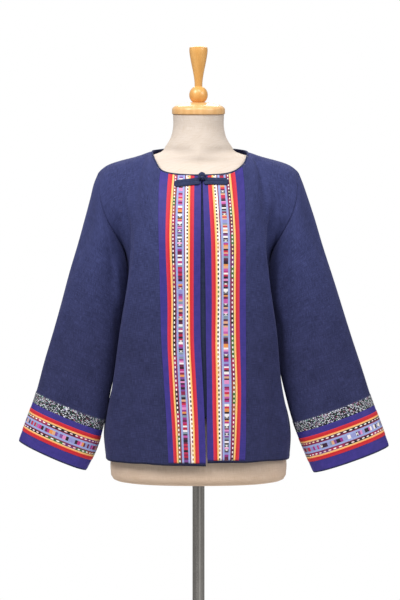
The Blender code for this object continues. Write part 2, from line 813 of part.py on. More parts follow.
def make_sleeves():
    for side, sign in SIDES.items():
        grid = sleeve_grid(side)
        ups = [station / SLEEVES[side][-1][0] for station in sleeve_stations(side)]
        grid = add_folds(f"sleeve_{side}", grid, grid_normals(grid, -sign, closed=True), ups, closed=True)
        normals = grid_normals(grid, -sign, closed=True)
        make_wall(f"sleeve_{side}", grid, normals, *layer_offsets(0), "navy_cloth", closed=True)
        lines = list(CUFF_LINES)
        band = slice(lines.index(CUFF_BORDER), lines.index(CUFF_BAND_TOP) + 1)
        ribbon = slice(lines.index(CUFF_RIBBON[0]), lines.index(CUFF_RIBBON[1]) + 1)
        stitching = slice(lines.index(CUFF_BAND_TOP), lines.index(CUFF_STITCHING_TOP) + 1)
        strips = (
            ("cuff_band", band, 1, "violet_band", ()),
            ("cuff_ribbon", ribbon, 2, "woven_ribbon", ()),
            ("cuff_stitching", stitching, 1, "stitched_strip", ("row first",)),
        )
        for name, rows, layer, material, inset in strips:
            piece = pull_in(grid[:, rows], inset, SEAM_GAP)
            offsets = layer_offsets(layer)
            make_wall(f"{name}_{side}", piece, normals[:, rows], *offsets, material, closed=True)


def neckline(side):
    """The neckline from one front edge round to the centre back, on the +X half."""
    front = [front_top(side, station) for station in range(FRONT_STRIPS - SHOULDER_STRIPS + 1)]
    back = [back_top(station) for station in range(BACK_NECK_STRIPS, -1, -1)]
    return np.array(front + back[1:])


def make_piping():
    """Round piping that stands on the neck edge of all three panels."""
    halves = []
    for side, sign in SIDES.items():
        line = neckline(side)
        sideways = np.abs(line[:, 0:1]) / NECK_HALF_WIDTH
        inward = -line * (1.0, 1.0, 0.0)
        inward /= np.linalg.norm(inward, axis=1, keepdims=True)
        lean = PIPING_LEAN + (PIPING_SIDE_LEAN - PIPING_LEAN) * sideways**3
        stand = inward * lean + np.array([[0.0, 0.0, 1.0]]) * np.sqrt(1 - lean**2)
        path = line + stand * (PIPING_RADIUS + PIPING_GAP)
        halves.append(path * (sign, 1.0, 1.0))
    make_tube("neck_piping", [*halves[0], *halves[1][-2::-1]], PIPING_RADIUS, PIPING_SIDES, "navy_cloth")


def front_at_height(side, distance, height):
    """Point of the upper front on the +X half, at a distance from the front edge."""
    station = float(np.interp(distance, BAND_STEPS[-1][1:], range(BAND_STRIPS + 1)))
    shares = np.linspace(0.4, 1.0, 40)
    column = np.array([upper_front(side, station, share) for share in shares])
    return np.array([np.interp(height, column[:, 2], values) for values in column.T])


def make_frog():
    """Two doubled cloth cords that meet at a ball knot over the front edges."""
    low = layer_offsets(2)[1] + LAYER_GAP
    across = np.linspace(-1.0, 1.0, len(BAR_PROFILE))
    thickness = np.array(BAR_PROFILE) * BAR_THICKNESS
    for side, sign in SIDES.items():
        edge = front_edge(side, BAR_HEIGHT)
        start = BAR_START + sign * KNOT_X - edge
        grid = []
        for distance in np.linspace(start, BAR_REACH[side], BAR_STEPS + 1):
            near_end = max(0.0, 1 - (BAR_REACH[side] - distance) / BAR_HALF_HEIGHT)
            half = BAR_HALF_HEIGHT * (1 - BAR_END_TAPER * near_end**2)
            grid.append([front_at_height(side, distance, BAR_HEIGHT + half * share) for share in across])
        grid = np.array(grid)
        grid[:, :, 0] *= sign
        normals = grid_normals(grid, sign)
        make_wall(f"frog_bar_{side}", grid, normals, low, low + thickness[None, :, None], "navy_cloth")
    angles = np.linspace(radians(KNOT_END_ANGLE), pi - radians(KNOT_END_ANGLE), 9)
    ball = [(KNOT_RADIUS * sin(angle), -KNOT_HALF_HEIGHT * cos(angle)) for angle in angles]
    knot_y = front_at_height("left", 0.0, KNOT_HEIGHT)[1] - layer_offsets(1)[1] - KNOT_REST - KNOT_RADIUS
    make_turned("frog_knot", ball, "navy_cloth", segments=14, foot=(KNOT_X, knot_y, KNOT_HEIGHT))


def make_underlap():
    """The strip behind the front opening, hung inside the wearer's left front."""
    bottom = UNDERLAP["bottom"]
    heights = [bottom, *(height for height in body_heights() if height > bottom + HEM_BORDER)]
    shares = np.linspace(0.0, UNDERLAP["top_share"], UPPER_ROWS + 1)[1:]
    neck = smooth_line(FRONT_NECK)
    grid = []
    for x in np.linspace(-UNDERLAP["right_of_centre"], UNDERLAP["left_of_centre"], UNDERLAP_STRIPS + 1):

        def at_height(height, x=x):
            half_width, front, _, boxiness, _, _ = row_at(BODY, height)
            return np.array([x, -front * (1 - abs(x / half_width) ** boxiness) ** (1 / boxiness), height])

        foot = at_height(UNDERARM_HEIGHT)
        direction = foot - at_height(UNDERARM_HEIGHT - SLOPE_STEP)
        top = np.array([x, *(np.interp(abs(x), neck[:, 0], neck[:, axis]) for axis in (1, 2))])
        bend = row_at(FRONT_BEND, abs(x) / BAND_WIDTH * BAND_STRIPS / FRONT_STRIPS)
        upper = [bent_column(foot, direction, top, bend, 1.0, share) for share in shares]
        grid.append([at_height(height) for height in heights] + upper)
    grid = np.array(grid)
    high = -PANEL_WALL / 2 - UNDERLAP_GAP
    make_wall("front_underlap", grid, grid_normals(grid, 1), high - TRIM_WALL, high, "navy_cloth")


# Dress form and stand


def form_ring(row, height):
    half_width, front, back, boxiness, tilt = row
    ring = []
    for angle in np.linspace(0.0, 2 * pi, FORM_SEGMENTS, endpoint=False):
        x = half_width * np.sign(cos(angle)) * abs(cos(angle)) ** (2 / boxiness)
        depth = back if sin(angle) > 0 else front
        y = depth * np.sign(sin(angle)) * abs(sin(angle)) ** (2 / boxiness)
        ring.append((x, y, height + (y - NECK_MIDDLE) * tan(radians(tilt))))
    return ring


def make_form():
    vertices = []
    for height, *row in FORM:
        vertices += form_ring(row, height)
    count = FORM_SEGMENTS
    faces = [tuple(range(count))[::-1], tuple((len(FORM) - 1) * count + i for i in range(count))]
    for level in range(len(FORM) - 1):
        for i in range(count):
            j = (i + 1) % count
            low, high = level * count, (level + 1) * count
            faces.append((low + i, low + j, high + j, high + i))
    make_object("form_torso", vertices, faces, "form_linen")


def make_handle():
    top = FORM[-1][0] + LAYER_GAP
    foot = (0.0, NECK_MIDDLE, top)
    arc = [
        (CAP_RADIUS * cos(angle), CAP_EDGE + CAP_DOME * sin(angle))
        for angle in np.linspace(0.0, radians(CAP_TOP_ANGLE), 6)
    ]
    profile = [(CAP_RADIUS - CAP_ROUNDING, 0.0), (CAP_RADIUS, CAP_ROUNDING), *arc]
    make_turned("form_cap", profile, "turned_wood", segments=32, foot=foot, tilt=NECK_TILT)
    rise = arc[-1][1] + LAYER_GAP
    lean = radians(NECK_TILT)
    seat = (0.0, foot[1] - rise * sin(lean), foot[2] + rise * cos(lean))
    middle = (BALL_RADIUS**2 - BALL_CUT**2) ** 0.5
    waist = HANDLE[0][0]
    start, end = -atan(middle / BALL_CUT), atan((BALL_RADIUS**2 - waist**2) ** 0.5 / waist)
    ball = [
        (BALL_RADIUS * cos(angle), middle + BALL_RADIUS * sin(angle))
        for angle in np.linspace(start, end, 8)
    ]
    make_turned("form_handle", [*ball, *HANDLE], "turned_wood", segments=20, foot=seat, tilt=NECK_TILT)


def make_stand():
    base = [
        (BASE_RADIUS - BASE_BEVEL, 0.0),
        (BASE_RADIUS, BASE_BEVEL),
        (BASE_RADIUS, BASE_THICKNESS - BASE_BEVEL),
        (BASE_RADIUS - BASE_BEVEL, BASE_THICKNESS),
    ]
    make_turned("stand_base", base, "dark_base", segments=40)
    low, high = BASE_THICKNESS + LAYER_GAP, BASE_THICKNESS + LAYER_GAP + COLLAR_HEIGHT
    bore = POLE_RADIUS + LAYER_GAP
    collar = [
        (bore, low),
        (COLLAR_FOOT_RADIUS, low),
        (COLLAR_FOOT_RADIUS, low + COLLAR_FOOT_THICKNESS),
        (COLLAR_TOP_RADIUS, low + COLLAR_SHOULDER),
        (COLLAR_TOP_RADIUS, high),
        (bore, high),
    ]
    make_turned("stand_collar", collar, "brushed_steel", ring=True)
    pole = [(POLE_RADIUS, low), (POLE_RADIUS, FORM[0][0] - LAYER_GAP)]
    make_turned("stand_pole", pole, "brushed_steel")


def make_all():
    make_fronts()
    make_back()
    make_sleeves()
    make_piping()
    make_frog()
    make_underlap()
    make_form()
    make_handle()
    make_stand()


for old in list(bpy.data.objects):
    bpy.data.objects.remove(old, do_unlink=True)
MATERIALS = make_materials()
make_all()
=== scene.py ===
from functools import lru_cache
from math import cos, pi, radians, sin, tan

import bmesh
import bpy
import numpy as np
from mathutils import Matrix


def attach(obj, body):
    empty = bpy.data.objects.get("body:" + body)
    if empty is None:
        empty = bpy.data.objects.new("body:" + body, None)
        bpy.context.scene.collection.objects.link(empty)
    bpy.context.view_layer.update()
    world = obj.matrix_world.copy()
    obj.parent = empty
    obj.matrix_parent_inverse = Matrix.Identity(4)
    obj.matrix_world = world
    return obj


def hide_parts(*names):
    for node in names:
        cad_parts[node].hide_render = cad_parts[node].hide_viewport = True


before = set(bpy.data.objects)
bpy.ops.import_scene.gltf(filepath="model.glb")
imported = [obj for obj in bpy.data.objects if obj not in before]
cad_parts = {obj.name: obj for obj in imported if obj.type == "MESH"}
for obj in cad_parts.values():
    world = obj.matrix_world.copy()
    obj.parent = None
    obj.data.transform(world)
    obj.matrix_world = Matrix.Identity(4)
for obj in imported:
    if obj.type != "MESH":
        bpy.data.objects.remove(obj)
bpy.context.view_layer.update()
scene = bpy.context.scene
mm = 0.001  # tables are in millimetres, meshes in metres
sides = {"right": -1.0, "left": 1.0}  # the wearer's sides; the wearer's right is at -X
pieces = {}
print("frame loaded:", len(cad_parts), "solids")


# Smooth curves through tables and nets of points

def rowAt(table, key):
    rows = np.array(table, dtype=float)
    keys = rows[:, 0]
    key = min(max(key, keys[0]), keys[-1])
    slopes = np.gradient(rows[:, 1:], keys, axis=0)
    i = int(min(max(np.searchsorted(keys, key) - 1, 0), len(keys) - 2))
    step = keys[i + 1] - keys[i]
    t = (key - keys[i]) / step
    low, high = rows[i, 1:], rows[i + 1, 1:]
    rise = (1 + 2 * t) * (1 - t) ** 2 * low + t * t * (3 - 2 * t) * high
    return rise + step * (t * (1 - t) ** 2 * slopes[i] - t * t * (1 - t) * slopes[i + 1])


def lengthsAlong(points):
    steps = np.linalg.norm(np.diff(points, axis=0), axis=1)
    return np.concatenate(([0.0], np.cumsum(steps)))


def pointAlong(points, distance):
    lengths = lengthsAlong(points)
    return np.array([np.interp(distance, lengths, column) for column in points.T])


def shareAlong(points, share):
    return pointAlong(points, share * lengthsAlong(points)[-1])


@lru_cache
def smoothLine(table, steps=12):
    rows = np.array(table, dtype=float)
    keyed = np.column_stack((lengthsAlong(rows), rows))
    keys = np.linspace(0.0, keyed[-1, 0], steps * (len(rows) - 1) + 1)
    return np.array([rowAt(keyed, key) for key in keys])


def splineWeights(keys, places, closedLength=None):  # places x keys, for a curve with no kinks
    keys, places = np.array(keys, dtype=float), np.array(places, dtype=float)
    count = len(keys)
    if closedLength is not None:  # wrap a few points round each end of a closed ring
        wrap = 4
        order = [*range(count - wrap, count), *range(count), *range(wrap)]
        turns = [-closedLength] * wrap + [0.0] * count + [closedLength] * wrap
        weights = splineWeights(keys[order] + np.array(turns), places % closedLength)
        folded = np.zeros((len(places), count))
        for column, source in enumerate(order):
            folded[:, source] += weights[:, column]
        return folded
    steps = np.diff(keys)
    system, values = np.eye(count), np.zeros((count, count))
    for i in range(1, count - 1):
        system[i, i - 1:i + 2] = steps[i - 1], 2 * (steps[i - 1] + steps[i]), steps[i]
        values[i, i - 1:i + 2] = 6 / steps[i - 1], -6 / steps[i - 1] - 6 / steps[i], 6 / steps[i]
    bends = np.linalg.solve(system, values)
    cell = np.clip(np.searchsorted(keys, places) - 1, 0, count - 2)
    h, b = steps[cell], (places - keys[cell]) / steps[cell]
    a, rows = 1 - b, np.arange(len(places))
    weights = ((a ** 3 - a) * h * h / 6)[:, None] * bends[cell]
    weights += ((b ** 3 - b) * h * h / 6)[:, None] * bends[cell + 1]
    weights[rows, cell] += a
    weights[rows, cell + 1] += b
    return weights


# Jacket body, from the same tables as its solids

bodyCut = {
    "hem": 741.0,
    "hemLift": {  # how far the hem rides up, across each panel
        "front_right": (0.0, 2.5, 5.2), "front_left": (6.0, 6.6, 5.8), "back": (5.2, 1.0, 5.8), "reach": 150.0,
    },
    "underarm": 1150.0,
    "neckHeight": 1301.0,
    "hemBorder": 5.5,
    "lowerRows": 12,
    "upperRows": 9,
    "neckStrips": 4,
    "shoulderStrips": 6,
    "backNeckStrips": 5,
    "tuckMiddle": -15.0,
    "tuckReach": 45.0,
    "slopeStep": 20.0,
    "levels": (  # height, half width, front, back, front and back boxiness, side tuck
        (741, 181.0, 126, 124, 2.5, 2.4, 0), (775, 183.5, 126, 124, 2.5, 2.4, 0),
        (800, 183.0, 126, 123, 2.5, 2.4, 0), (850, 176.0, 125, 120, 2.6, 2.4, 3),
        (880, 171.5, 124, 117, 2.7, 2.4, 8), (920, 167.5, 123, 112, 2.8, 2.4, 11),
        (960, 164.5, 122, 106, 2.9, 2.5, 12), (1000, 160.5, 122, 101, 3.0, 2.5, 12),
        (1060, 152.0, 124, 97, 3.1, 2.6, 10), (1110, 145.5, 126, 99, 3.1, 2.6, 4),
        (1150, 143.5, 127, 103, 3.0, 2.6, 0),
    ),
    "rightEase": (  # height, how much further out the wearer's right side hangs
        (741, 2.5), (775, 4.0), (830, 5.0), (860, 6.5), (890, 7.0), (920, 5.5), (960, 3.5), (1000, 2.0),
        (1060, 0.5), (1110, 0.0),
    ),
    "frontEdges": (  # height, then how far right and left edges stand to the wearer's left
        (741, 14.4, 17.2), (820, 12.4, 16.3), (900, 8.6, 15.9), (980, 4.8, 14.4), (1060, 3.8, 13.8),
        (1150, 4.2, 12.0), (1301, 5.2, 8.2),
    ),
    "frontNeck": (
        (-30, -87.5, 1302.0), (0, -90.0, 1301.0), (28, -88.0, 1302.0), (55, -79.0, 1305.5), (74, -64.0, 1313.5),
        (84, -46.0, 1328.0), (91, -24.0, 1344.0), (94, 2.0, 1356.5),
    ),
    "backNeck": (
        (0, 66.0, 1369.0), (28, 64.0, 1368.5), (52, 56.0, 1367.0), (74, 42.0, 1364.0), (88, 23.0, 1360.5),
        (94, 2.0, 1356.5),
    ),
    "shoulder": (
        (94, 2.0, 1356.5), (128, 1.5, 1345.5), (160, 1.0, 1337.0), (182, 0.5, 1329.0), (199, 0.0, 1315.5),
    ),
    "frontArmhole": (
        (143.5, 0.0, 1150.0), (150, -19.0, 1163.0), (164, -40.0, 1188.0), (181, -54.0, 1220.0),
        (192, -52.0, 1254.0), (197, -33.0, 1290.0), (199, 0.0, 1315.5),
    ),
    "backArmhole": (
        (143.5, 0.0, 1150.0), (150, 20.0, 1163.0), (164, 41.0, 1188.0), (180, 54.0, 1220.0),
        (190, 53.0, 1254.0), (196, 34.0, 1290.0), (199, 0.0, 1315.5),
    ),
    "leftNeck": {  # the neck hole runs a little wider and squarer on the wearer's left
        "frontNeck": (
            (-30, -87.5, 1302.0), (0, -90.0, 1301.0), (28, -88.0, 1302.0), (55, -79.0, 1305.0),
            (72, -67.0, 1311.5), (84, -55.0, 1320.5), (93, -39.0, 1332.0), (98, -20.0, 1345.5), (99.5, 2.0, 1355.0),
        ),
        "backNeck": (
            (0, 66.0, 1369.0), (28, 64.0, 1368.5), (52, 56.0, 1367.0), (75, 42.0, 1364.0), (92, 23.0, 1360.0),
            (99.5, 2.0, 1355.0),
        ),
        "shoulder": (
            (99.5, 2.0, 1355.0), (129, 1.5, 1345.5), (160, 1.0, 1337.0), (182, 0.5, 1329.0), (199, 0.0, 1315.5),
        ),
    },
    "frontBend": (  # across, lower pull, upper pull, sideways, inward, rise
        (0.0, 55, 40, 0.00, 0.50, 0.86), (0.29, 60, 48, 0.12, 0.62, 0.76), (0.57, 75, 60, 0.50, 0.80, 0.33),
        (0.8, 70, 60, 0.15, 1.00, 0.08), (1.0, 60, 50, 0.00, 1.00, 0.05),
    ),
    "backBend": (
        (0.0, 85, 60, 0.00, 0.55, 0.83), (0.25, 85, 60, 0.20, 0.60, 0.75), (0.45, 80, 60, 0.50, 0.80, 0.33),
        (0.75, 70, 60, 0.12, 1.00, 0.08), (1.0, 60, 50, 0.00, 1.00, 0.05),
    ),
}
trimCut = {
    "strips": 4,
    "width": 81.0,
    "stopBelowNeck": 1.6,
    "repeatStart": {"right": 0.0, "left": 400.0},  # where along the ribbon's repeat each strip starts
    "top": {"right": (0.0, 12.7, 38.0, 63.0, 79.0), "left": (0.0, 9.5, 36.0, 62.5, 77.5)},
    "right": (  # height, then each trim line's distance from the front edge
        (741, 0.0, 12.5, 37.0, 61.3, 71.5), (800, 0.0, 12.8, 37.8, 62.6, 73.0), (876, 0.0, 13.0, 38.6, 64.0, 74.5),
        (968, 0.0, 13.3, 38.8, 64.2, 75.8), (1060, 0.0, 12.9, 38.0, 63.2, 77.3),
        (1150, 0.0, 13.0, 39.8, 66.7, 80.2),
    ),
    "left": (
        (741, 0.0, 12.0, 36.0, 60.2, 73.0), (784, 0.0, 11.7, 37.3, 62.9, 74.9), (876, 0.0, 10.7, 38.3, 66.0, 76.3),
        (968, 0.0, 10.8, 38.0, 65.4, 77.2), (1060, 0.0, 11.9, 38.5, 65.3, 78.0),
        (1150, 0.0, 12.7, 40.3, 68.0, 80.2),
    ),
}
bandStrips = trimCut["strips"]
frontStrips = bandStrips + bodyCut["neckStrips"] + bodyCut["shoulderStrips"]
backStrips = bodyCut["backNeckStrips"] + bodyCut["shoulderStrips"]


@lru_cache
def frontEdge(side, height):
    right, left = rowAt(bodyCut["frontEdges"], height)
    return -right if side == "right" else left


@lru_cache
def halfSection(side, height, back, start=0.0, steps=120):
    halfWidth, front, rear, frontBox, backBox, tuck = rowAt(bodyCut["levels"], height)
    if side == "right":
        halfWidth += rowAt(bodyCut["rightEase"], height)[0]
    depth, box = (rear, backBox) if back else (-front, frontBox)
    x = halfWidth * np.sin(np.linspace(0.0, pi / 2, steps)) ** (2 / box)
    if start != 0.0:
        x = np.concatenate(([start], x[x > max(start, 0.0)]))
        if start < 0.0:
            x = np.insert(x, 1, 0.0)
    y = depth * np.maximum(1 - np.abs(x / halfWidth) ** box, 0.0) ** (1 / box)
    x = x - tuck * np.exp(-(((y - bodyCut["tuckMiddle"]) / bodyCut["tuckReach"]) ** 2))
    return np.column_stack((x, y, np.full(len(x), float(height))))


def frontDistance(side, station, full, height):
    steps = rowAt(trimCut[side], height)
    if station <= bandStrips:
        return float(np.interp(station, range(bandStrips + 1), steps))
    share = (station - bandStrips) / (frontStrips - bandStrips)
    return steps[-1] + share * (full - steps[-1])


def lowerFront(side, station, height):
    section = halfSection(side, height, False, frontEdge(side, height))
    return pointAlong(section, frontDistance(side, station, lengthsAlong(section)[-1], height))


def lowerBack(side, station, height):
    return shareAlong(halfSection(side, height, True), station / backStrips)


def neckLine(side, name):
    return smoothLine(bodyCut["leftNeck"][name] if side == "left" else bodyCut[name])


def frontTop(side, station):
    neck = neckLine(side, "frontNeck")
    edge = frontEdge(side, bodyCut["neckHeight"])
    top = trimCut["top"][side]
    if station <= bandStrips:
        x = edge + np.interp(station, range(bandStrips + 1), top)
        return np.array([x, *(np.interp(x, neck[:, 0], neck[:, axis]) for axis in (1, 2))])
    lengths = lengthsAlong(neck)
    bandEnd = np.interp(edge + top[-1], neck[:, 0], lengths)
    if station <= bandStrips + bodyCut["neckStrips"]:
        share = (station - bandStrips) / bodyCut["neckStrips"]
        return pointAlong(neck, bandEnd + share * (lengths[-1] - bandEnd))
    share = (station - bandStrips - bodyCut["neckStrips"]) / bodyCut["shoulderStrips"]
    return shareAlong(neckLine(side, "shoulder"), share)


def backTop(side, station):
    if station <= bodyCut["backNeckStrips"]:
        return shareAlong(neckLine(side, "backNeck"), station / bodyCut["backNeckStrips"])
    share = (station - bodyCut["backNeckStrips"]) / bodyCut["shoulderStrips"]
    return shareAlong(neckLine(side, "shoulder"), share)


panelCuts = {
    "front": dict(strips=frontStrips, calm=frontStrips - bodyCut["shoulderStrips"], lower=lowerFront,
                  top=frontTop, bend="frontBend", armhole="frontArmhole", inward=1.0),
    "back": dict(strips=backStrips, calm=bodyCut["backNeckStrips"], lower=lowerBack,
                 top=backTop, bend="backBend", armhole="backArmhole", inward=-1.0),
}


def bentColumn(foot, direction, top, bend, inwardSign, t):
    lowerPull, upperPull, sideways, inward, rise = bend
    arrival = np.array([-sideways, inwardSign * inward, rise])
    first = foot + lowerPull * direction / np.linalg.norm(direction)
    second = top - upperPull * arrival / np.linalg.norm(arrival)
    return (1 - t) ** 3 * foot + 3 * t * (1 - t) ** 2 * first + 3 * t * t * (1 - t) * second + t ** 3 * top


def upperColumn(cut, side, station, share):
    foot = cut["lower"](side, station, bodyCut["underarm"])
    direction = foot - cut["lower"](side, station, bodyCut["underarm"] - bodyCut["slopeStep"])
    bend = rowAt(bodyCut[cut["bend"]], station / cut["strips"])
    return bentColumn(foot, direction, cut["top"](side, station), bend, cut["inward"], share)


def upperPoint(cut, side, station, share):
    point = upperColumn(cut, side, station, share)
    pull = max(0.0, (station - cut["calm"]) / (cut["strips"] - cut["calm"])) ** 2
    if pull > 0.0:  # shoulder columns swing over to the armhole line
        edge = upperColumn(cut, side, cut["strips"], share)
        point = point + pull * (shareAlong(smoothLine(bodyCut[cut["armhole"]]), share) - edge)
    return point


def bodyHeights():
    above = np.linspace(bodyCut["hem"] + bodyCut["hemBorder"], bodyCut["underarm"], bodyCut["lowerRows"])
    return [bodyCut["hem"], *above]


def halfPanel(kind, side):
    cut = panelCuts[kind]
    shares = np.linspace(0.0, 1.0, bodyCut["upperRows"] + 1)[1:]
    net = []
    for station in range(cut["strips"] + 1):
        below = [cut["lower"](side, station, height) for height in bodyHeights()]
        net.append(below + [upperPoint(cut, side, station, share) for share in shares])
    return np.array(net)


# Folds: low across and up, high across and up, push out in mm, spread. They lie where the solids' folds lie,
# and the finer creases are added to them.

folds = {
    "seamCalm": 0.05,
    "front_right": (
        (0.80, -0.30, 0.70, 0.72, 4.0, 0.07), (0.64, -0.25, 0.58, 0.60, -3.0, 0.07),
        (0.46, -0.25, 0.48, 0.40, -3.0, 0.05), (0.55, 0.60, 0.86, 0.90, -3.5, 0.06),
    ),
    "front_left": (
        (0.76, -0.20, 0.70, 0.74, 4.0, 0.07), (0.60, -0.30, 0.58, 0.55, -3.0, 0.07),
        (0.97, -0.06, 0.76, 0.16, -4.0, 0.05), (0.56, 0.58, 0.86, 0.88, -3.5, 0.06),
    ),
    "back": (
        (0.20, -0.25, 0.24, 0.66, 4.0, 0.035), (0.31, -0.30, 0.30, 0.60, -5.0, 0.04),
        (0.44, -0.20, 0.46, 0.45, 3.0, 0.05), (0.62, -0.25, 0.60, 0.55, -4.5, 0.04),
        (0.71, -0.30, 0.72, 0.68, 4.0, 0.04), (0.83, -0.20, 0.80, 0.62, -4.0, 0.035),
    ),
    "sleeve_right": (
        (0.23, 0.42, 0.20, 0.98, 4.5, 0.045), (0.33, 0.50, 0.31, 0.97, -5.5, 0.045),
        (0.12, 0.30, 0.16, 0.62, -3.0, 0.045), (0.68, 0.30, 0.72, 0.96, -6.0, 0.05),
        (0.80, 0.25, 0.82, 0.80, 4.0, 0.05),
    ),
    "sleeve_left": (
        (0.24, 0.45, 0.22, 0.98, 4.5, 0.045), (0.34, 0.46, 0.32, 0.96, -5.5, 0.045),
        (0.13, 0.18, 0.17, 0.52, -3.0, 0.045), (0.70, 0.36, 0.71, 0.96, -6.0, 0.05),
        (0.79, 0.20, 0.83, 0.76, 4.0, 0.05),
    ),
}
fineFolds = {  # creases too small for the solids
    "front_right": (
        (0.90, 0.32, 0.71, 0.80, -14.0, 0.080), (0.71, 0.28, 0.52, 0.76, 3.4, 0.035),
        (0.98, 0.30, 0.90, 0.66, -2.2, 0.030), (0.52, 0.02, 0.66, 0.30, 1.6, 0.035),
        (0.72, 0.70, 0.60, 0.97, 1.3, 0.045), (0.38, 0.30, 0.52, 0.72, 1.0, 0.040),
        (0.95, 0.05, 0.86, 0.34, 1.6, 0.030),
    ),
    "front_left": (
        (0.90, 0.32, 0.71, 0.80, -17.0, 0.085), (0.70, 0.30, 0.51, 0.76, 3.4, 0.035),
        (0.98, 0.34, 0.90, 0.64, -2.2, 0.030), (0.88, -0.02, 0.62, 0.20, 2.4, 0.030),
        (0.70, 0.72, 0.60, 0.96, 1.2, 0.045), (0.40, 0.28, 0.50, 0.66, 1.0, 0.040),
        (0.50, 0.04, 0.60, 0.34, -1.4, 0.035),
    ),
    "back": (
        (0.08, 0.30, 0.18, 0.66, 1.8, 0.020), (0.93, 0.34, 0.84, 0.64, 1.8, 0.020),
        (0.16, 0.66, 0.26, 0.92, -2.0, 0.025), (0.85, 0.64, 0.75, 0.90, -2.0, 0.025),
        (0.50, 0.55, 0.52, 0.98, 1.2, 0.030), (0.38, -0.05, 0.35, 0.30, 2.0, 0.020),
        (0.55, -0.05, 0.53, 0.26, -1.8, 0.022), (0.78, 0.02, 0.76, 0.34, 1.6, 0.018),
    ),
    "sleeve_right": (
        (0.06, 0.55, 0.16, 0.90, -2.2, 0.028), (0.28, 0.20, 0.20, 0.52, 2.0, 0.030),
        (0.40, 0.56, 0.34, 0.80, 2.6, 0.022), (0.46, 0.40, 0.38, 0.62, -2.4, 0.022),
        (0.05, 0.25, 0.10, 0.48, 1.8, 0.030), (0.60, 0.48, 0.66, 0.78, 2.4, 0.025),
        (0.92, 0.40, 0.88, 0.75, -2.0, 0.030), (0.30, 0.74, 0.24, 0.92, -2.0, 0.022),
    ),
    "sleeve_left": (
        (0.07, 0.60, 0.15, 0.92, -2.2, 0.028), (0.26, 0.22, 0.21, 0.50, 2.0, 0.030),
        (0.41, 0.52, 0.36, 0.78, 2.6, 0.022), (0.45, 0.36, 0.40, 0.60, -2.4, 0.022),
        (0.04, 0.20, 0.11, 0.42, 1.8, 0.030), (0.61, 0.52, 0.66, 0.80, 2.4, 0.025),
        (0.91, 0.38, 0.89, 0.70, -2.0, 0.030), (0.31, 0.76, 0.25, 0.93, -2.0, 0.022),
    ),
}
drift = {"push": 0.55, "waves": ((0.9, 13.0, 0.3), (1.7, 21.0, 1.9), (2.6, 31.0, 4.1), (0.5, 43.0, 2.2))}


def foldPush(piece, across, up):
    total = np.zeros(np.broadcast(across, up).shape)
    for lowAcross, lowUp, highAcross, highUp, push, spread in (*folds[piece], *fineFolds[piece]):
        share = np.clip((up - lowUp) / (highUp - lowUp), 0.0, 1.0)
        middle = lowAcross + share * (highAcross - lowAcross)
        total = total + push * np.sin(pi * share) * np.exp(-(((across - middle) / spread) ** 2))
    for turn, pitch, start in drift["waves"]:  # the slight unevenness of hanging cloth
        wave = np.sin(pitch * (across * cos(turn) * 2.2 + up * sin(turn)) + start)
        total = total + drift["push"] * wave / len(drift["waves"])
    return total


# Nets: a coarse net of points, the distances of its lines in mm, and its own shares for the folds

def panelNet(piece, points, acrossKeys, sign, calmSides):
    upKeys = lengthsAlong(points.mean(axis=0))
    underarmShare, count = 0.66, bodyCut["upperRows"]
    lower = [underarmShare * (z - bodyCut["hem"]) / (bodyCut["underarm"] - bodyCut["hem"]) for z in bodyHeights()]
    upper = [underarmShare + (1 - underarmShare) * (row + 1) / count for row in range(count)]
    return dict(piece=piece, points=points, across=acrossKeys, up=upKeys, sign=sign, closed=None,
                acrossShares=np.linspace(0.0, 1.0, len(acrossKeys)), upShares=np.array(lower + upper),
                calmSides=calmSides)


def frontNet(side):
    points = halfPanel("front", side)
    full = np.mean([lengthsAlong(points[:, row])[-1] for row in range(points.shape[1])])
    across = [frontDistance(side, station, full, bodyCut["underarm"]) for station in range(frontStrips + 1)]
    points = points * (sides[side], 1.0, 1.0)
    return panelNet(f"front_{side}", points, across, sides[side], (0.0, 1.0))


def backNet():
    right, left = (halfPanel("back", side) * (sign, 1.0, 1.0) for side, sign in sides.items())
    points = np.concatenate((right[:0:-1], left))
    across = lengthsAlong(points.mean(axis=1))
    return panelNet("back", points, across, -1.0, (1.0, 1.0))


def netAt(net, across, up):
    across, up = np.asarray(across, dtype=float), np.asarray(up, dtype=float)
    rows = splineWeights(net["up"], up)
    columns = splineWeights(net["across"], across, net["closed"])
    grid = np.einsum("ac,crk,ur->auk", columns, net["points"], rows)
    normals = gridNormals(grid, net["sign"], net["closed"] is not None)
    if net["closed"] is None:
        acrossShares = np.interp(across, net["across"], net["acrossShares"])
    else:
        acrossShares = across / net["closed"]
    upShares = np.interp(up, net["up"], net["upShares"])
    calm = np.clip((1 - upShares) / folds["seamCalm"], 0.0, 1.0)[None, :]
    low, high = net["calmSides"]
    if low:
        calm = calm * np.clip(acrossShares / folds["seamCalm"], 0.0, 1.0)[:, None]
    if high:
        calm = calm * np.clip((1 - acrossShares) / folds["seamCalm"], 0.0, 1.0)[:, None]
    push = foldPush(net["piece"], acrossShares[:, None], upShares[None, :])
    grid = grid + normals * (calm * push)[:, :, None]
    if net["piece"] in bodyCut["hemLift"]:  # the hem rides up a little, unevenly
        lift = np.interp(acrossShares, (0.0, 0.5, 1.0), bodyCut["hemLift"][net["piece"]])
        lift = lift + 0.7 * np.sin(17.0 * acrossShares) * np.sin(pi * acrossShares)
        fade = np.clip(1 - up / bodyCut["hemLift"]["reach"], 0.0, 1.0) ** 1.5
        grid[:, :, 2] += lift[:, None] * fade[None, :]
    return grid, gridNormals(grid, net["sign"], net["closed"] is not None)


def gridNormals(grid, outward, closed=False):
    if closed:
        across = np.roll(grid, -1, axis=0) - np.roll(grid, 1, axis=0)
    else:
        across = np.gradient(grid, axis=0)
    normals = np.cross(across, np.gradient(grid, axis=1)) * outward
    return normals / np.maximum(np.linalg.norm(normals, axis=2, keepdims=True), 1e-9)


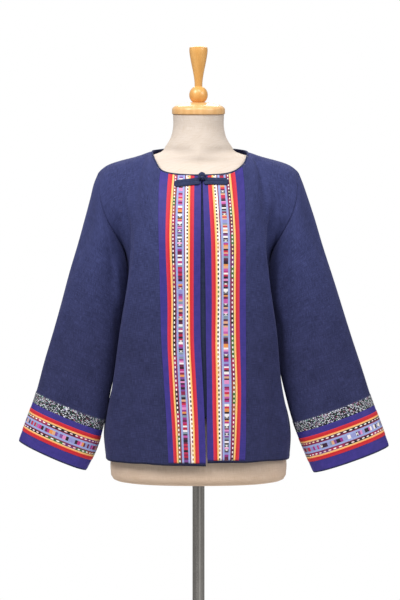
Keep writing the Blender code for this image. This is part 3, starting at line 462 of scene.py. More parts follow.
def finer(keys, step):  # places that keep the net's own lines
    places = []
    for low, high in zip(keys[:-1], keys[1:]):
        count = max(1, int(round((high - low) / step)))
        places += list(np.linspace(low, high, count, endpoint=False))
    return np.array([*places, keys[-1]])


# Turning grids and rings into meshes

def makeMesh(name, vertices, faces, material, uvs=None):
    mesh = bpy.data.meshes.new(name)
    mesh.from_pydata([tuple(point) for point in np.asarray(vertices) * mm], [], faces)
    if uvs is not None:
        layer = mesh.uv_layers.new(name="sizeInMetres")
        loops = np.zeros(len(mesh.loops), dtype=np.int32)
        mesh.loops.foreach_get("vertex_index", loops)
        layer.data.foreach_set("uv", (np.asarray(uvs) * mm)[loops].astype(np.float32).ravel())
    mesh.shade_smooth()
    mesh.materials.append(material)
    piece = bpy.data.objects.new(name, mesh)
    scene.collection.objects.link(piece)
    pieces[name] = piece
    return piece


def outward(piece):  # turns every face of a closed mesh outward
    shape = bmesh.new()
    shape.from_mesh(piece.data)
    bmesh.ops.recalc_face_normals(shape, faces=shape.faces)
    shape.to_mesh(piece.data)
    shape.free()
    return piece


def shellFaces(columns, rows, closed):
    layer = columns * rows
    column = np.arange(columns if closed else columns - 1)
    i, j = np.meshgrid(column, np.arange(rows - 1), indexing="ij")
    a = i * rows + j
    b = ((i + 1) % columns) * rows + j
    quads = np.stack((a, b, b + 1, a + 1), axis=-1).reshape(-1, 4)
    faces = [*(quads + layer).tolist(), *quads[:, ::-1].tolist()]
    for row, turn in ((0, False), (rows - 1, True)):
        low = column * rows + row
        high = ((column + 1) % columns) * rows + row
        rim = np.stack((low, high, high + layer, low + layer), axis=-1)
        faces += (rim[:, ::-1] if turn else rim).tolist()
    if not closed:
        for edge, turn in ((0, True), (columns - 1, False)):
            low = edge * rows + np.arange(rows - 1)
            rim = np.stack((low, low + 1, low + 1 + layer, low + layer), axis=-1)
            faces += (rim if turn else rim[:, ::-1]).tolist()
    return faces


def makeShell(name, grid, normals, low, high, material, across, up, sign, closed=False, turned=False):
    columns, rows = grid.shape[:2]
    low = np.broadcast_to(low, (columns, rows))[:, :, None]
    high = np.broadcast_to(high, (columns, rows))[:, :, None]
    vertices = np.concatenate([(grid + offset * normals).reshape(-1, 3) for offset in (low, high)])
    faces = shellFaces(columns, rows, closed)
    if sign > 0:
        faces = [face[::-1] for face in faces]
    uv = np.stack(np.meshgrid(across, up, indexing="ij"), axis=-1).reshape(-1, 2)
    if turned:  # a strip that runs round a cuff: its own length is the way round
        uv = uv[:, ::-1]
    return outward(makeMesh(name, vertices, faces, material, np.concatenate((uv, uv))))


def stripPlaces(start, end, count):  # closer together along both rounded edges
    edge = np.array([0.0, 0.35, 0.9, 1.8])
    return np.concatenate((start + edge, np.linspace(start, end, count)[2:-2], end - edge[::-1]))


def roundedEdge(places, low, high, reach, share=0.2):  # how far the outer layer stands near the ends of a row
    inside = np.minimum(places - places[0], places[-1] - places)
    rise = np.sqrt(np.clip(1 - (1 - np.clip(inside / reach, 0, 1)) ** 2, 0, 1))
    return low + (high - low) * (share + (1 - share) * rise)


# Finishes, all from nodes. A node's output is a Value, so that sums of them read as sums.

class Value:
    def __init__(self, socket):
        self.socket = socket

    def __add__(self, other):
        return calc("ADD", self, other)

    def __sub__(self, other):
        return calc("SUBTRACT", self, other)

    def __rsub__(self, other):
        return calc("SUBTRACT", other, self)

    def __mul__(self, other):
        return calc("MULTIPLY", self, other)

    def __truediv__(self, other):
        return calc("DIVIDE", self, other)

    def __lt__(self, other):
        return calc("LESS_THAN", self, other)

    def __gt__(self, other):
        return calc("GREATER_THAN", self, other)

    def __abs__(self):
        return calc("ABSOLUTE", self)


def add(kind, sockets, output=0, **settings):
    node = tree.nodes.new(kind)
    for key, value in settings.items():
        setattr(node, key, value)
    for key, value in sockets.items():
        if isinstance(value, Value):
            tree.links.new(value.socket, node.inputs[key])
        else:
            node.inputs[key].default_value = value
    return Value(node.outputs[output])


def calc(operation, *values, clamp=False):
    return add("ShaderNodeMath", dict(enumerate(values)), operation=operation, use_clamp=clamp)


def newFinish(name, settings):
    global tree, shader
    material = bpy.data.materials.new(name)
    material.use_nodes = True
    tree = material.node_tree
    shader = tree.nodes["Principled BSDF"]
    for socket, value in settings.items():
        shader.inputs[socket].default_value = value
    return material


def wire(value, socket):
    tree.links.new(value.socket, shader.inputs[socket])


def paint(base, height, deep, strength):  # deep is in millimetres
    wire(base, "Base Color")
    wire(add("ShaderNodeBump", {"Strength": strength, "Distance": deep * mm, "Height": height}), "Normal")


def colour(code):  # a screen colour such as "3a3c66" as linear light
    parts = [int(code[i:i + 2], 16) / 255 for i in (0, 2, 4)]
    return (*(part / 12.92 if part <= 0.04045 else ((part + 0.055) / 1.055) ** 2.4 for part in parts), 1.0)


def blend(share, first, second, mode="MIX"):
    return add("ShaderNodeMix", {0: share, 6: first, 7: second}, 2, data_type="RGBA", blend_type=mode)


def dim(base, value):
    return blend(1.0, base, place(value, value, value), "MULTIPLY")


def ramp(value, stops, steps=False):
    output = add("ShaderNodeValToRGB", {0: value})
    bar = output.socket.node.color_ramp
    bar.interpolation = "CONSTANT" if steps else "LINEAR"
    while len(bar.elements) < len(stops):
        bar.elements.new(0.5)
    for element, (where, code) in zip(bar.elements, stops):
        element.position = where
        element.color = colour(code)
    return output


def pick(value, codes):  # one of the colours, by a steady random number for each whole number
    return ramp(chance(value), [(i / len(codes), code) for i, code in enumerate(codes)], steps=True)


def chance(value):
    return add("ShaderNodeTexWhiteNoise", {"W": value}, noise_dimensions="1D")


def noise(vector, scale=1.0, detail=2.0):
    sockets = {"Vector": vector, "Scale": scale, "Detail": detail, "Roughness": 0.5}
    return add("ShaderNodeTexNoise", sockets, noise_dimensions="3D")


def place(x, y, z=0.0):
    return add("ShaderNodeCombineXYZ", {0: x, 1: y, 2: z})


def split(vector):
    parts = add("ShaderNodeSeparateXYZ", {0: vector})
    return [Value(output) for output in parts.socket.node.outputs]


def objectPlace():
    return add("ShaderNodeTexCoord", {}, 3)


def sizesOf():  # across and up, in millimetres on the cut cloth
    across, up, _ = split(add("ShaderNodeUVMap", {}, uv_map="sizeInMetres"))
    return across * 1000.0, up * 1000.0


def threads(across, up, weave):  # (height of the weave, unevenness of its yarn)
    pitch, long, thin = weave
    warp, weft = (calc("SINE", value * (2 * pi / pitch)) for value in (across, up))
    crossing = warp * weft * 0.5 + 0.5
    warpSlub = noise(place(across * (1 / thin), up * (1 / long)))
    weftSlub = noise(place(across * (1 / long), up * (1 / thin), 5.0))
    return crossing, (warpSlub + weftSlub) * 0.5


def near(value, middle, reach):  # 1 on a line, 0 past its reach
    return calc("SUBTRACT", 1.0, abs(value - middle) / reach, clamp=True)


def clothFinish(name, look):
    material = newFinish(name, {
        "Roughness": look["roughness"], "Sheen Weight": look["sheen"], "Sheen Roughness": 0.5,
        "Sheen Tint": colour(look["sheenTint"]), "Specular IOR Level": look["specular"]})
    across, up = sizesOf()
    crossing, slub = threads(across, up, look["weave"])
    dark, main, light = look["shades"]
    patches = noise(place(across, up), 1 / look["patchSize"], 3.0)
    base = ramp(slub, [(0.36, dark), (0.5, main), (0.66, light)])
    base = blend(look["patchShare"], base, ramp(patches, [(0.3, dark), (0.7, light)]))
    base = dim(base, crossing * look["grooveShade"] + (1 - look["grooveShade"]))
    if "low" in look:  # painted shade: the colour darkens toward the foot, standing in for the dimmer light low down
        top, reach, code = look["low"]
        share = calc("DIVIDE", top - split(objectPlace())[2], reach, clamp=True)
        base = blend(share, base, colour(code), "MULTIPLY")
    height = crossing * 0.5 + slub
    for along, at, length, thread in look.get("stitches", ()):
        beside, run = (across, up) if along == "up" else (up, across)
        mask = (near(beside, at, 0.45) > 0.1) * (calc("FRACT", run * (1 / length)) < 0.68)
        base = blend(mask, base, colour(thread))
        height = height - near(beside, at, 1.1) * 0.8
    if "edge" in look:  # painted shade: a dark line along the bottom edge, standing in for the shadow at the hem's turned edge
        tall, code = look["edge"]
        base = blend(up < tall, base, colour(code))
    paint(base, height, look["bump"], look["bumpStrength"])
    return material


navyLook = {  # shades are dark, main and light; weave is its pitch, then the length and width of a slub
    "roughness": 0.88, "sheen": 0.22, "sheenTint": "8c90c8", "specular": 0.22,
    "shades": ("262a4e", "343a66", "4a5084"), "weave": (1.3, 13.0, 1.0), "patchSize": 34.0, "patchShare": 0.22,
    # low: painted shade, the navy cloth darkens toward the foot where less light falls
    "grooveShade": 0.25, "bump": 0.4, "bumpStrength": 0.6, "low": (1.16, 0.2, "e0dada"),
}
hemStitch = ("across", 16.0, 3.4, "2c2e52")  # which way it runs, where, length of a stitch, thread
violetLook = {
    "roughness": 0.62, "sheen": 0.15, "sheenTint": "9a90ff", "specular": 0.32,
    "shades": ("2a2772", "362d82", "463691"), "weave": (0.8, 22.0, 0.55), "patchSize": 14.0, "patchShare": 0.4,
    "grooveShade": 0.14, "bump": 0.2, "bumpStrength": 0.4,
}
navyCloth = clothFinish("navyCloth", navyLook)
# edge: painted shade, a dark line at the hem standing in for the shadow of its turned edge
navyHemmed = clothFinish("navyHemmedCloth", {**navyLook, "stitches": (hemStitch,), "edge": (3.6, "1e2038")})
biasLook = {**navyLook, "shades": ("232a48", "2d3556", "3b4466"), "weave": (0.8, 13.0, 1.0)}
navyBias = clothFinish("navyBiasCloth", biasLook)
violetEdges = tuple(("up", at, 2.8, "3a2f8e") for at in (1.3, 79.7))
violetBand = clothFinish("violetBand", {**violetLook, "stitches": violetEdges})
violetCuff = clothFinish("violetCuffBand", violetLook)
linenCover = clothFinish("linenCover", {
    "roughness": 0.86, "sheen": 0.1, "sheenTint": "fff4e6", "specular": 0.25,
    "shades": ("ccbba8", "d8c9bc", "e0d5cb"), "weave": (1.6, 20.0, 1.0), "patchSize": 50.0, "patchShare": 0.2,
    # low: painted shade, a darker, warmer tint low on the form standing in for the jacket hem's shadow and dimmer
    # light there
    "grooveShade": 0.07, "bump": 0.4, "bumpStrength": 0.4, "low": (0.79, 0.09, "ffeedd"),
})

ribbonLook = {
    "width": 54.0, "roughness": 0.58, "sheen": 0.12, "specular": 0.3,
    "blockHalf": 4.3, "groundHalf": 8.3, "lineEnd": 10.3, "dotsEnd": 15.7, "yellowEnd": 19.4,
    "blockHeight": 3.9, "dotPitch": 8.6, "dotRun": 22.0,
    "blocks": ("b81e3e", "f4ece8", "2a1826", "e08cc0", "962a80", "e8944c", "b8347c", "6c2044", "8090a0", "c458a4",
               "8a2048", "24141e", "e0a884", "cc2c48", "9290cc", "5c2040", "f2e8ec", "7e4a92", "c02c54", "381a34"),
    # the column nearer the front edge is pale with dark dots, the other is dark with pale dots
    "palePlace": (14.3, 1.5, 2.6), "darkPlace": (12.8, 1.3, 2.4),
    "paleGround": ("fdf8f2", "fbf5ee", "f6dccc", "fdf8f2", "f8e8d0", "fbf2ee"),
    "darkDots": ("14121c", "1a1220", "54763a", "7c1c40", "14121c", "b8804c", "1c1420", "a03c48"),
    "darkGround": ("1e141c", "84204c", "58183c", "a82858", "3c6836", "a0583c", "1c1420", "6c2a6c"),
    "paleDots": ("fdf8f2", "fbf2ee", "f8d0d4", "fdf8f2", "f6e4b4", "fbeef2"),
    "lavender": "9ca8da", "line": "84224a",
    "yellow": "fcaa58", "yellowPale": "fddc90", "red": "ca1a1e", "redPale": "da3450",
}
cuffRibbonLook = {**ribbonLook, "yellow": "f68e46", "yellowPale": "fdd892", "red": "c8181c", "redPale": "d0283c",
                  "blocks": ribbonLook["blocks"] + ("9498cc",) * 7}  # the ground shows between its blocks


def ribbonFinish(name, look, width, paleColumn=1.0):
    material = newFinish(name, {"Roughness": look["roughness"], "Sheen Weight": look["sheen"],
                                "Specular IOR Level": look["specular"]})
    across, up = sizesOf()
    across = across * (look["width"] / width)
    offset = across - look["width"] / 2
    away, side = abs(offset), offset > 0.0

    sway, quick = calc("SINE", up * 0.31) * 0.16, calc("SINE", up * 0.83) * 0.07
    count = up * (1 / look["blockHeight"]) + sway + quick
    block = calc("FLOOR", count)
    tilt = abs(calc("FRACT", count) - 0.5) * (2 * look["blockHalf"])
    bowShade = blend(away > tilt, colour("f6f0ec"), colour("1a121c"))
    blockShade = blend(chance(block + 71.3) > 0.94, pick(block, look["blocks"]), bowShade)
    onBlock = away < look["blockHalf"]
    centre = blend(onBlock, colour(look["lavender"]), blockShade)

    run = calc("FLOOR", up * (1 / look["dotRun"]) + side * 7.37)
    pale = (1.0 - side) * paleColumn
    middle, halfWide, halfTall = (pale * (light - dark) + dark
                                  for light, dark in zip(look["palePlace"], look["darkPlace"]))
    sideways = (away - middle) / halfWide
    endways = (calc("FRACT", up * (1 / look["dotPitch"]) + side * 0.4) - 0.5) * look["dotPitch"] / halfTall
    onDot = sideways * sideways + endways * endways < 1.0
    darkGround, paleDots, paleGround, darkDots = (
        pick(run + start, look[key])
        for key, start in (("darkGround", 0.0), ("paleDots", 31.7), ("paleGround", 12.4), ("darkDots", 53.1)))
    dotted = blend(pale, blend(onDot, darkGround, paleDots), blend(onDot, paleGround, darkDots))

    yellowShare = (away - look["dotsEnd"]) / (look["yellowEnd"] - look["dotsEnd"])
    yellow = blend(yellowShare, colour(look["yellowPale"]), colour(look["yellow"]))
    redShare = calc("DIVIDE", away - look["yellowEnd"], look["width"] / 2 - look["yellowEnd"], clamp=True)
    red = blend(redShare, colour(look["red"]), colour(look["redPale"]))
    shade = centre
    bands = {"groundHalf": colour(look["line"]), "lineEnd": dotted, "dotsEnd": yellow, "yellowEnd": red}
    for start, band in bands.items():
        shade = blend(away > look[start], shade, band)
    crossing, slub = threads(across, up, (0.7, 6.0, 0.5))
    shade = dim(shade, (slub * 0.5 + 0.72) * (crossing * 0.16 + 0.88))
    raised = onBlock + onDot * (away > look["lineEnd"])
    paint(shade, raised * 0.6 + crossing * 0.5, 0.25, 0.5)
    return material


frontRibbonFinish = ribbonFinish("wovenRibbon", ribbonLook, 54.0)
cuffRibbonFinish = ribbonFinish("wovenCuffRibbon", cuffRibbonLook, 51.0, paleColumn=0.0)

stitchingLook = {
    "tall": 23.0, "cell": 1.3, "diamond": 7.6, "ground": "11131c", "navy": "2c2e50",
    "threads": ("dcdee8", "c4c8d8", "e8e8ee", "5e9884", "dcdfe8", "8f7cae", "c8ccd8", "a8607c", "d4d8e2", "3d7a62",
                "e0e2e8"),
}


def stitchingFinish(name, look):  # small cross-stitched diamonds and hooks under a toothed top edge
    material = newFinish(name, {"Roughness": 0.8, "Sheen Weight": 0.15})
    across, up = sizesOf()
    size, half = look["cell"], look["diamond"] / 2
    column, row = (calc("FLOOR", value * (1 / size)) for value in (up, across))  # along the cuff, up the strip
    x, y = column * size, row * size
    diamond = calc("PINGPONG", x, half) + calc("PINGPONG", y + half * 0.9, half)
    hearts = calc("MAXIMUM", diamond < 0.9, abs(diamond - half * 1.9) < 0.3)
    lines = calc("MAXIMUM", abs(diamond - half) < 0.75, hearts)
    cellNumber = column * 37.0 + row
    kept = chance(cellNumber) > 0.34
    onThread = calc("MAXIMUM", lines * kept, chance(cellNumber + 0.37) > 0.95)
    tooth = calc("PINGPONG", x, half * 0.5) * 1.1 + (look["tall"] - 5.0)
    inside = y < tooth
    onThread = calc("MAXIMUM", onThread * inside, (abs(y - tooth) < 0.8) * kept)
    shade = blend(inside, colour(look["navy"]), colour(look["ground"]))
    shade = blend(onThread, shade, pick(cellNumber + 0.71, look["threads"]))
    crossing, slub = threads(across, up, (size, 6.0, 0.5))
    paint(dim(shade, slub * 0.6 + 0.65), onThread + crossing * 0.4, 0.3, 0.6)
    return material


stitchedStrip = stitchingFinish("stitchedStrip", stitchingLook)


def woodFinish(name, dark, main, light):
    material = newFinish(name, {"Roughness": 0.36, "Coat Weight": 0.35, "Coat Roughness": 0.22})
    x, y, z = split(objectPlace())
    grainPlace = place(x, y, z * 0.04)
    wobble = noise(grainPlace, 18.0, 3.0)
    waves = {"Vector": grainPlace, "Scale": 22.0, "Distortion": 7.0, "Detail": 3.0, "Detail Scale": 1.4}
    rings = add("ShaderNodeTexWave", waves, 1, wave_type="BANDS", bands_direction="X")
    pores = noise(place(x * 1200.0, y * 1200.0, z * 60.0))
    shade = ramp(rings * 0.3 + wobble * 0.7, [(0.2, dark), (0.5, main), (0.85, light)])
    paint(dim(shade, pores * 0.12 + 0.94), pores, 0.15, 0.25)
    return material


def steelFinish(name, dark, light, metallic, roughness, roughSpread, streaks):
    material = newFinish(name, {"Metallic": metallic})
    point = objectPlace()
    x, y, z = split(point)
    lines = noise(place(x * streaks, y * streaks, z * 1.5))  # drawn lengthways
    wire(noise(point, 60.0, 4.0) * roughSpread + roughness, "Roughness")
    paint(ramp(lines, [(0.3, dark), (0.7, light)]), lines, 0.05, 0.2)
    return material


turnedWood = woodFinish("turnedWood", "d99e52", "e2a95e", "eab66e")
paleWood = woodFinish("paleTurnedWood", "deaa6a", "e7b476", "eec084")
# its lengthways dark and light streaks are partly brushing marks and partly painted reflections, bands standing in
# for what the polished pole mirrors
brushedSteel = steelFinish("brushedSteel", "7e7a76", "dad6d0",
                           metallic=1.0, roughness=0.2, roughSpread=0.1, streaks=230.0)
darkBase = steelFinish("darkBase", "232427", "313236",
                       metallic=0.2, roughness=0.38, roughSpread=0.2, streaks=60.0)
print("finishes ready")


# Jacket fronts with their bands and ribbons

layers = {  # inner and outer face of each layer, from the panel's middle
    "panel": (-0.7, 0.7),
    "band": (0.75, 1.45),
    "ribbon": (1.5, 2.1),
}
panelGrid = {  # size of a mesh cell, then how the hem and the seams roll
    "across": 3.2, "up": 3.2, "back": 3.4,
    "hemRoll": 0.5, "hemReach": 6.0, "seamDip": 0.45, "seamReach": 3.0,
}


def panelOffsets(across, up, dips):  # thin cloth, a little thicker at its hem, sunk along its seams
    low, high = layers["panel"]
    hem = np.clip(1 - up / panelGrid["hemReach"], 0.0, 1.0) * (up < panelGrid["hemReach"])
    roll = panelGrid["hemRoll"] * np.sin(pi * hem)[None, :]
    sink = np.zeros((len(across), len(up)))
    reach = panelGrid["seamReach"]
    if "first" in dips:
        sink = np.maximum(sink, np.clip(1 - across / reach, 0, 1)[:, None])
    if "last" in dips:
        sink = np.maximum(sink, np.clip(1 - (across[-1] - across) / reach, 0, 1)[:, None])
    sink = sink ** 2 * panelGrid["seamDip"]
    return low - roll * 0.4 - sink, high + roll - sink


def dress(piece, slot, *nodes, body="root"):
    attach(piece, body)
    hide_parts(*nodes)
    return piece


nets = {"back": backNet()}
for side in sides:
    nets[f"front_{side}"] = frontNet(side)
print("body nets ready")

for side, sign in sides.items():
    net = nets[f"front_{side}"]
    across, up = finer(net["across"], panelGrid["across"]), finer(net["up"], panelGrid["up"])
    grid, normals = netAt(net, across, up)
    low, high = panelOffsets(across, up, ("last",))
    piece = makeShell(f"{side}Front", grid, normals, low, high, navyHemmed, across, up, sign)
    dress(piece, "navy_cloth", f"front_{side}")

    trimUp = up[(up >= net["up"][1]) & (up <= net["up"][-1] - trimCut["stopBelowNeck"])]
    trimUp = np.append(trimUp, net["up"][-1] - trimCut["stopBelowNeck"])
    for part, node, layer, first, last, flat, finish, slot in (
        ("FrontBand", "front_band", "band", 0, bandStrips, trimCut["width"], violetBand, "violet_band"),
        ("FrontRibbon", "front_ribbon", "ribbon", 1, bandStrips - 1, ribbonLook["width"], frontRibbonFinish,
         "woven_ribbon"),
    ):
        start, end = net["across"][first], net["across"][last]
        places = stripPlaces(start, end, 21)
        grid, normals = netAt(net, places, trimUp)
        low, high = layers[layer]
        outer = roundedEdge(places, low, high, 1.2)[:, None]
        sewn = (places - start) * flat / (end - start)  # the strip's own width, however it lies
        along = trimUp + trimCut["repeatStart"][side]
        piece = makeShell(f"{side}{part}", grid, normals, low, outer, finish, sewn, along, sign)
        dress(piece, slot, f"{node}_{side}")
print("fronts ready")


# Back

net = nets["back"]
across, up = finer(net["across"], panelGrid["back"]), finer(net["up"], panelGrid["back"])
grid, normals = netAt(net, across, up)
low, high = panelOffsets(across, up, ("first", "last"))
dress(makeShell("backPanel", grid, normals, low, high, navyHemmed, across, up, -1.0), "navy_cloth", "back")
print("back ready")


# Sleeves and cuffs

sleeveCut = {
    "boxiness": 2.15,
    "fade": 110.0,
    "outward": (0.958, 0.0, -0.286),
    "seamGap": 0.25,
    "segments": 44,
    "ringStep": 14.0,
    "sag": 2.6,  # how far each ring's front hangs below its sides
    "sagFade": 320.0,
    "right": (  # from the cuff, outer x and z, inner x and z, middle y, half depth
        (0, 354.2, 782.2, 222.6, 724.6, -32, 34), (45, 339.9, 822.1, 203.5, 764.5, -31, 35),
        (110, 319.8, 880.3, 185.5, 825.4, -28, 38), (170, 303.5, 942.2, 173.5, 883.7, -24, 41),
        (230, 287.5, 999.2, 162.0, 942.2, -20, 45), (295, 270.0, 1061.6, 153.0, 1006.3, -16, 50),
        (360, 253.5, 1123.4, 142.0, 1059.6, -12, 54), (420, 236.8, 1180.9, 140.2, 1102.6, -8, 57),
        (465, 225.2, 1224.5, 141.4, 1126.0, -5, 59), (505, 215.2, 1263.4, 142.6, 1139.4, -3, 60),
        (535, 208.5, 1292.0, 143.4, 1147.0, -1, 60), (565, 199.0, 1315.5, 143.5, 1150.0, 0, 60),
    ),
    "left": (
        (0, 375.5, 772.3, 227.9, 720.1, -32, 34), (45, 360.8, 814.1, 211.0, 760.6, -31, 35),
        (110, 338.8, 874.4, 187.0, 820.2, -28, 38), (170, 321.1, 930.7, 171.5, 877.0, -24, 41),
        (230, 303.5, 987.4, 159.5, 935.0, -20, 45), (300, 283.0, 1053.0, 151.8, 1003.0, -16, 50),
        (365, 263.5, 1115.0, 142.4, 1057.0, -12, 54), (428, 244.5, 1175.5, 140.2, 1100.6, -8, 57),
        (480, 230.0, 1225.3, 141.4, 1126.0, -5, 59), (522, 217.0, 1266.0, 142.6, 1139.4, -3, 60),
        (552, 208.0, 1293.0, 143.4, 1147.0, -1, 60), (582, 199.0, 1315.5, 143.5, 1150.0, 0, 60),
    ),
}
cuffCut = {  # from the cuff's edge up, and where along the ribbon's repeat each cuff starts
    "border": 2.5, "band": (2.5, 86.5), "ribbon": (23.5, 74.5), "stitching": (86.7, 109.5),
    "repeatStart": {"right": 35.0, "left": 210.0},
}


def armholePoint(angle):
    front = angle <= pi
    share = 1 - (angle / pi if front else (2 * pi - angle) / pi)
    return shareAlong(smoothLine(bodyCut["frontArmhole" if front else "backArmhole"]), share)


def ovalRing(row, angle):
    outerX, outerZ, innerX, innerZ, midY, halfDepth = row
    middle = np.array([(outerX + innerX) / 2, midY, (outerZ + innerZ) / 2])
    reach = np.array([(outerX - innerX) / 2, 0.0, (outerZ - innerZ) / 2])
    power = 2 / sleeveCut["boxiness"]
    wide = np.sign(cos(angle)) * abs(cos(angle)) ** power
    deep = np.sign(sin(angle)) * abs(sin(angle)) ** power
    return middle + wide * reach - np.array([0.0, deep * halfDepth, 0.0])


def sleeveNet(side):
    table = sleeveCut[side]
    top = table[-1][0]
    rings = np.linspace(0.0, top, int(round(top / sleeveCut["ringStep"])) + 1)
    angles = np.linspace(0.0, 2 * pi, sleeveCut["segments"], endpoint=False)
    lines = []
    for angle in angles:
        seam = armholePoint(angle) + np.array(sleeveCut["outward"]) * sleeveCut["seamGap"]
        change = seam - ovalRing(rowAt(table, top), angle)
        line = []
        for ring in rings:
            fade = max(0.0, 1 - (top - ring) / sleeveCut["fade"]) ** 2
            sag = sleeveCut["sag"] * max(0.0, 1 - ring / sleeveCut["sagFade"]) * sin(angle)
            line.append(ovalRing(rowAt(table, ring), angle) + fade * change - np.array([0.0, 0.0, sag]))
        lines.append(line)
    points = np.array(lines) * (sides[side], 1.0, 1.0)
    return dict(piece=f"sleeve_{side}", points=points, across=angles, up=rings, sign=-sides[side], closed=2 * pi,
                upShares=rings / top, calmSides=(0.0, 0.0))


for side, sign in sides.items():
    net = sleeveNet(side)
    nets[f"sleeve_{side}"] = net
    around = np.linspace(0.0, 2 * pi, 132, endpoint=False)
    girth = lengthsAlong(np.concatenate((net["points"][:, 6], net["points"][:1, 6])))[-1]
    aroundMm = around / (2 * pi) * girth
    up = finer([0.0, cuffCut["border"], *np.linspace(6.0, net["up"][-1], 60)], 3.2)
    grid, normals = netAt(net, around, up)
    low, high = panelOffsets(around, up, ())
    topReach = np.clip(1 - (up[-1] - up) / panelGrid["seamReach"], 0, 1) ** 2 * panelGrid["seamDip"]
    piece = makeShell(f"{side}Sleeve", grid, normals, low - topReach, high - topReach, navyCloth,
                      aroundMm, up, -sign, True)
    dress(piece, "navy_cloth", f"sleeve_{side}")
    for part, node, layer, start, end, finish, slot in (
        ("CuffBand", "cuff_band", "band", *cuffCut["band"], violetCuff, "violet_band"),
        ("CuffRibbon", "cuff_ribbon", "ribbon", *cuffCut["ribbon"], cuffRibbonFinish, "woven_ribbon"),
        ("CuffStitching", "cuff_stitching", "band", *cuffCut["stitching"], stitchedStrip, "stitched_strip"),
    ):
        places = np.unique(np.round(stripPlaces(start, end, max(6, int((end - start) / 2.6))), 4))
        grid, normals = netAt(net, around, places)
        low, high = layers[layer]
        outer = roundedEdge(places, low, high, 1.2)[None, :]
        piece = makeShell(f"{side}{part}", grid, normals, low, outer, finish,
                          aroundMm + cuffCut["repeatStart"][side], places - start, -sign, True, True)
        dress(piece, slot, f"{node}_{side}")
print("sleeves and cuffs ready")


# Underlap strip behind the opening

underlapCut = {
    "leftOfCentre": 30.0, "rightOfCentre": 12.0, "bottom": 834.0, "topShare": 0.94, "behind": -2.2, "thick": 1.0,
}


def underlapNet():
    bottom = underlapCut["bottom"]
    heights = [bottom, *(height for height in bodyHeights() if height > bottom + bodyCut["hemBorder"])]
    shares = np.linspace(0.0, underlapCut["topShare"], bodyCut["upperRows"] + 1)[1:]
    neck = smoothLine(bodyCut["frontNeck"])
    lines = []
    xs = np.linspace(-underlapCut["rightOfCentre"], underlapCut["leftOfCentre"], 5)
    for x in xs:

        def atHeight(height, x=x):
            halfWidth, front, _, box, _, _ = rowAt(bodyCut["levels"], height)
            return np.array([x, -front * (1 - abs(x / halfWidth) ** box) ** (1 / box), height])

        foot = atHeight(bodyCut["underarm"])
        direction = foot - atHeight(bodyCut["underarm"] - bodyCut["slopeStep"])
        top = np.array([x, *(np.interp(abs(x), neck[:, 0], neck[:, axis]) for axis in (1, 2))])
        bend = rowAt(bodyCut["frontBend"], abs(x) / trimCut["width"] * bandStrips / frontStrips)
        below = [atHeight(height) for height in heights]
        lines.append(below + [bentColumn(foot, direction, top, bend, 1.0, share) for share in shares])
    points = np.array(lines)
    up = lengthsAlong(points.mean(axis=0))
    return points, xs - xs[0], up


points, across, up = underlapNet()
fineAcross, fineUp = np.linspace(0.0, across[-1], 15), finer(up, 4.0)
grid = np.einsum("ac,crk,ur->auk", splineWeights(across, fineAcross), points, splineWeights(up, fineUp))
normals = gridNormals(grid, 1.0)
high = underlapCut["behind"]
low = high - underlapCut["thick"]
strip = makeShell("frontUnderlap", grid, normals, low, high, navyBias, fineAcross, fineUp, 1.0)
dress(strip, "navy_cloth", "front_underlap")


# Tubes: piping, cords and the ball knot

def sweptTube(name, path, normals, wide, deep, material, segments=12, closed=False, roundEnds=True):
    path, normals = np.array(path, dtype=float), np.array(normals, dtype=float)
    if closed:
        tangents = np.roll(path, -1, axis=0) - np.roll(path, 1, axis=0)
    else:
        tangents = np.gradient(path, axis=0)
    tangents /= np.linalg.norm(tangents, axis=1, keepdims=True)
    normals -= (normals * tangents).sum(axis=1, keepdims=True) * tangents
    normals /= np.linalg.norm(normals, axis=1, keepdims=True)
    sideways = np.cross(tangents, normals)
    angles = np.linspace(0.0, 2 * pi, segments, endpoint=False)
    widths = np.ones(len(path))
    if roundEnds and not closed:
        along = lengthsAlong(path)
        inside = np.minimum(along, along[-1] - along)
        widths = 0.3 + 0.7 * np.sqrt(np.clip(1 - (1 - np.clip(inside / wide, 0, 1)) ** 2, 0, 1))
    rings = (path[:, None] + widths[:, None, None] * (wide * np.cos(angles)[None, :, None] * sideways[:, None]
             + deep * np.sin(angles)[None, :, None] * normals[:, None]))
    vertices = rings.reshape(-1, 3)
    faces = []
    spans = len(path) if closed else len(path) - 1
    for row in range(spans):
        low, high = row * segments, (row + 1) % len(path) * segments
        faces += [(low + i, low + (i + 1) % segments, high + (i + 1) % segments, high + i) for i in range(segments)]
    if not closed:
        faces += [tuple(range(segments))[::-1], tuple((len(path) - 1) * segments + i for i in range(segments))]
    along = np.repeat(lengthsAlong(path), segments)
    aroundMm = np.tile(angles * (wide + deep) / 2, len(path))
    return outward(makeMesh(name, vertices, faces, material, np.column_stack((aroundMm, along))))


pipingCut = {"radius": 1.5, "gap": 0.1, "lean": 0.5, "sideLean": 0.93}
halves = []
for side, sign in sides.items():
    count = frontStrips - bodyCut["shoulderStrips"]
    line = np.array([frontTop(side, station) for station in range(count + 1)]
                    + [backTop(side, station) for station in range(bodyCut["backNeckStrips"] - 1, -1, -1)])
    sideways = np.abs(line[:, 0:1]) / np.abs(line[:, 0]).max()
    lean = pipingCut["lean"] + (pipingCut["sideLean"] - pipingCut["lean"]) * sideways ** 3
    inward = -line * (1.0, 1.0, 0.0)
    inward /= np.linalg.norm(inward, axis=1, keepdims=True)
    stand = inward * lean + np.array([[0.0, 0.0, 1.0]]) * np.sqrt(1 - lean ** 2)
    halves.append((line + stand * (pipingCut["radius"] + pipingCut["gap"])) * (sign, 1.0, 1.0))
path = np.array([*halves[0], *halves[1][-2::-1]])
keys = lengthsAlong(path)
path = splineWeights(keys, finer(keys, 3.0)) @ path
centre = path.mean(axis=0)
piping = sweptTube("neckPiping", path, path - centre, pipingCut["radius"], pipingCut["radius"], navyBias, 10)
dress(piping, "navy_cloth", "neck_piping")

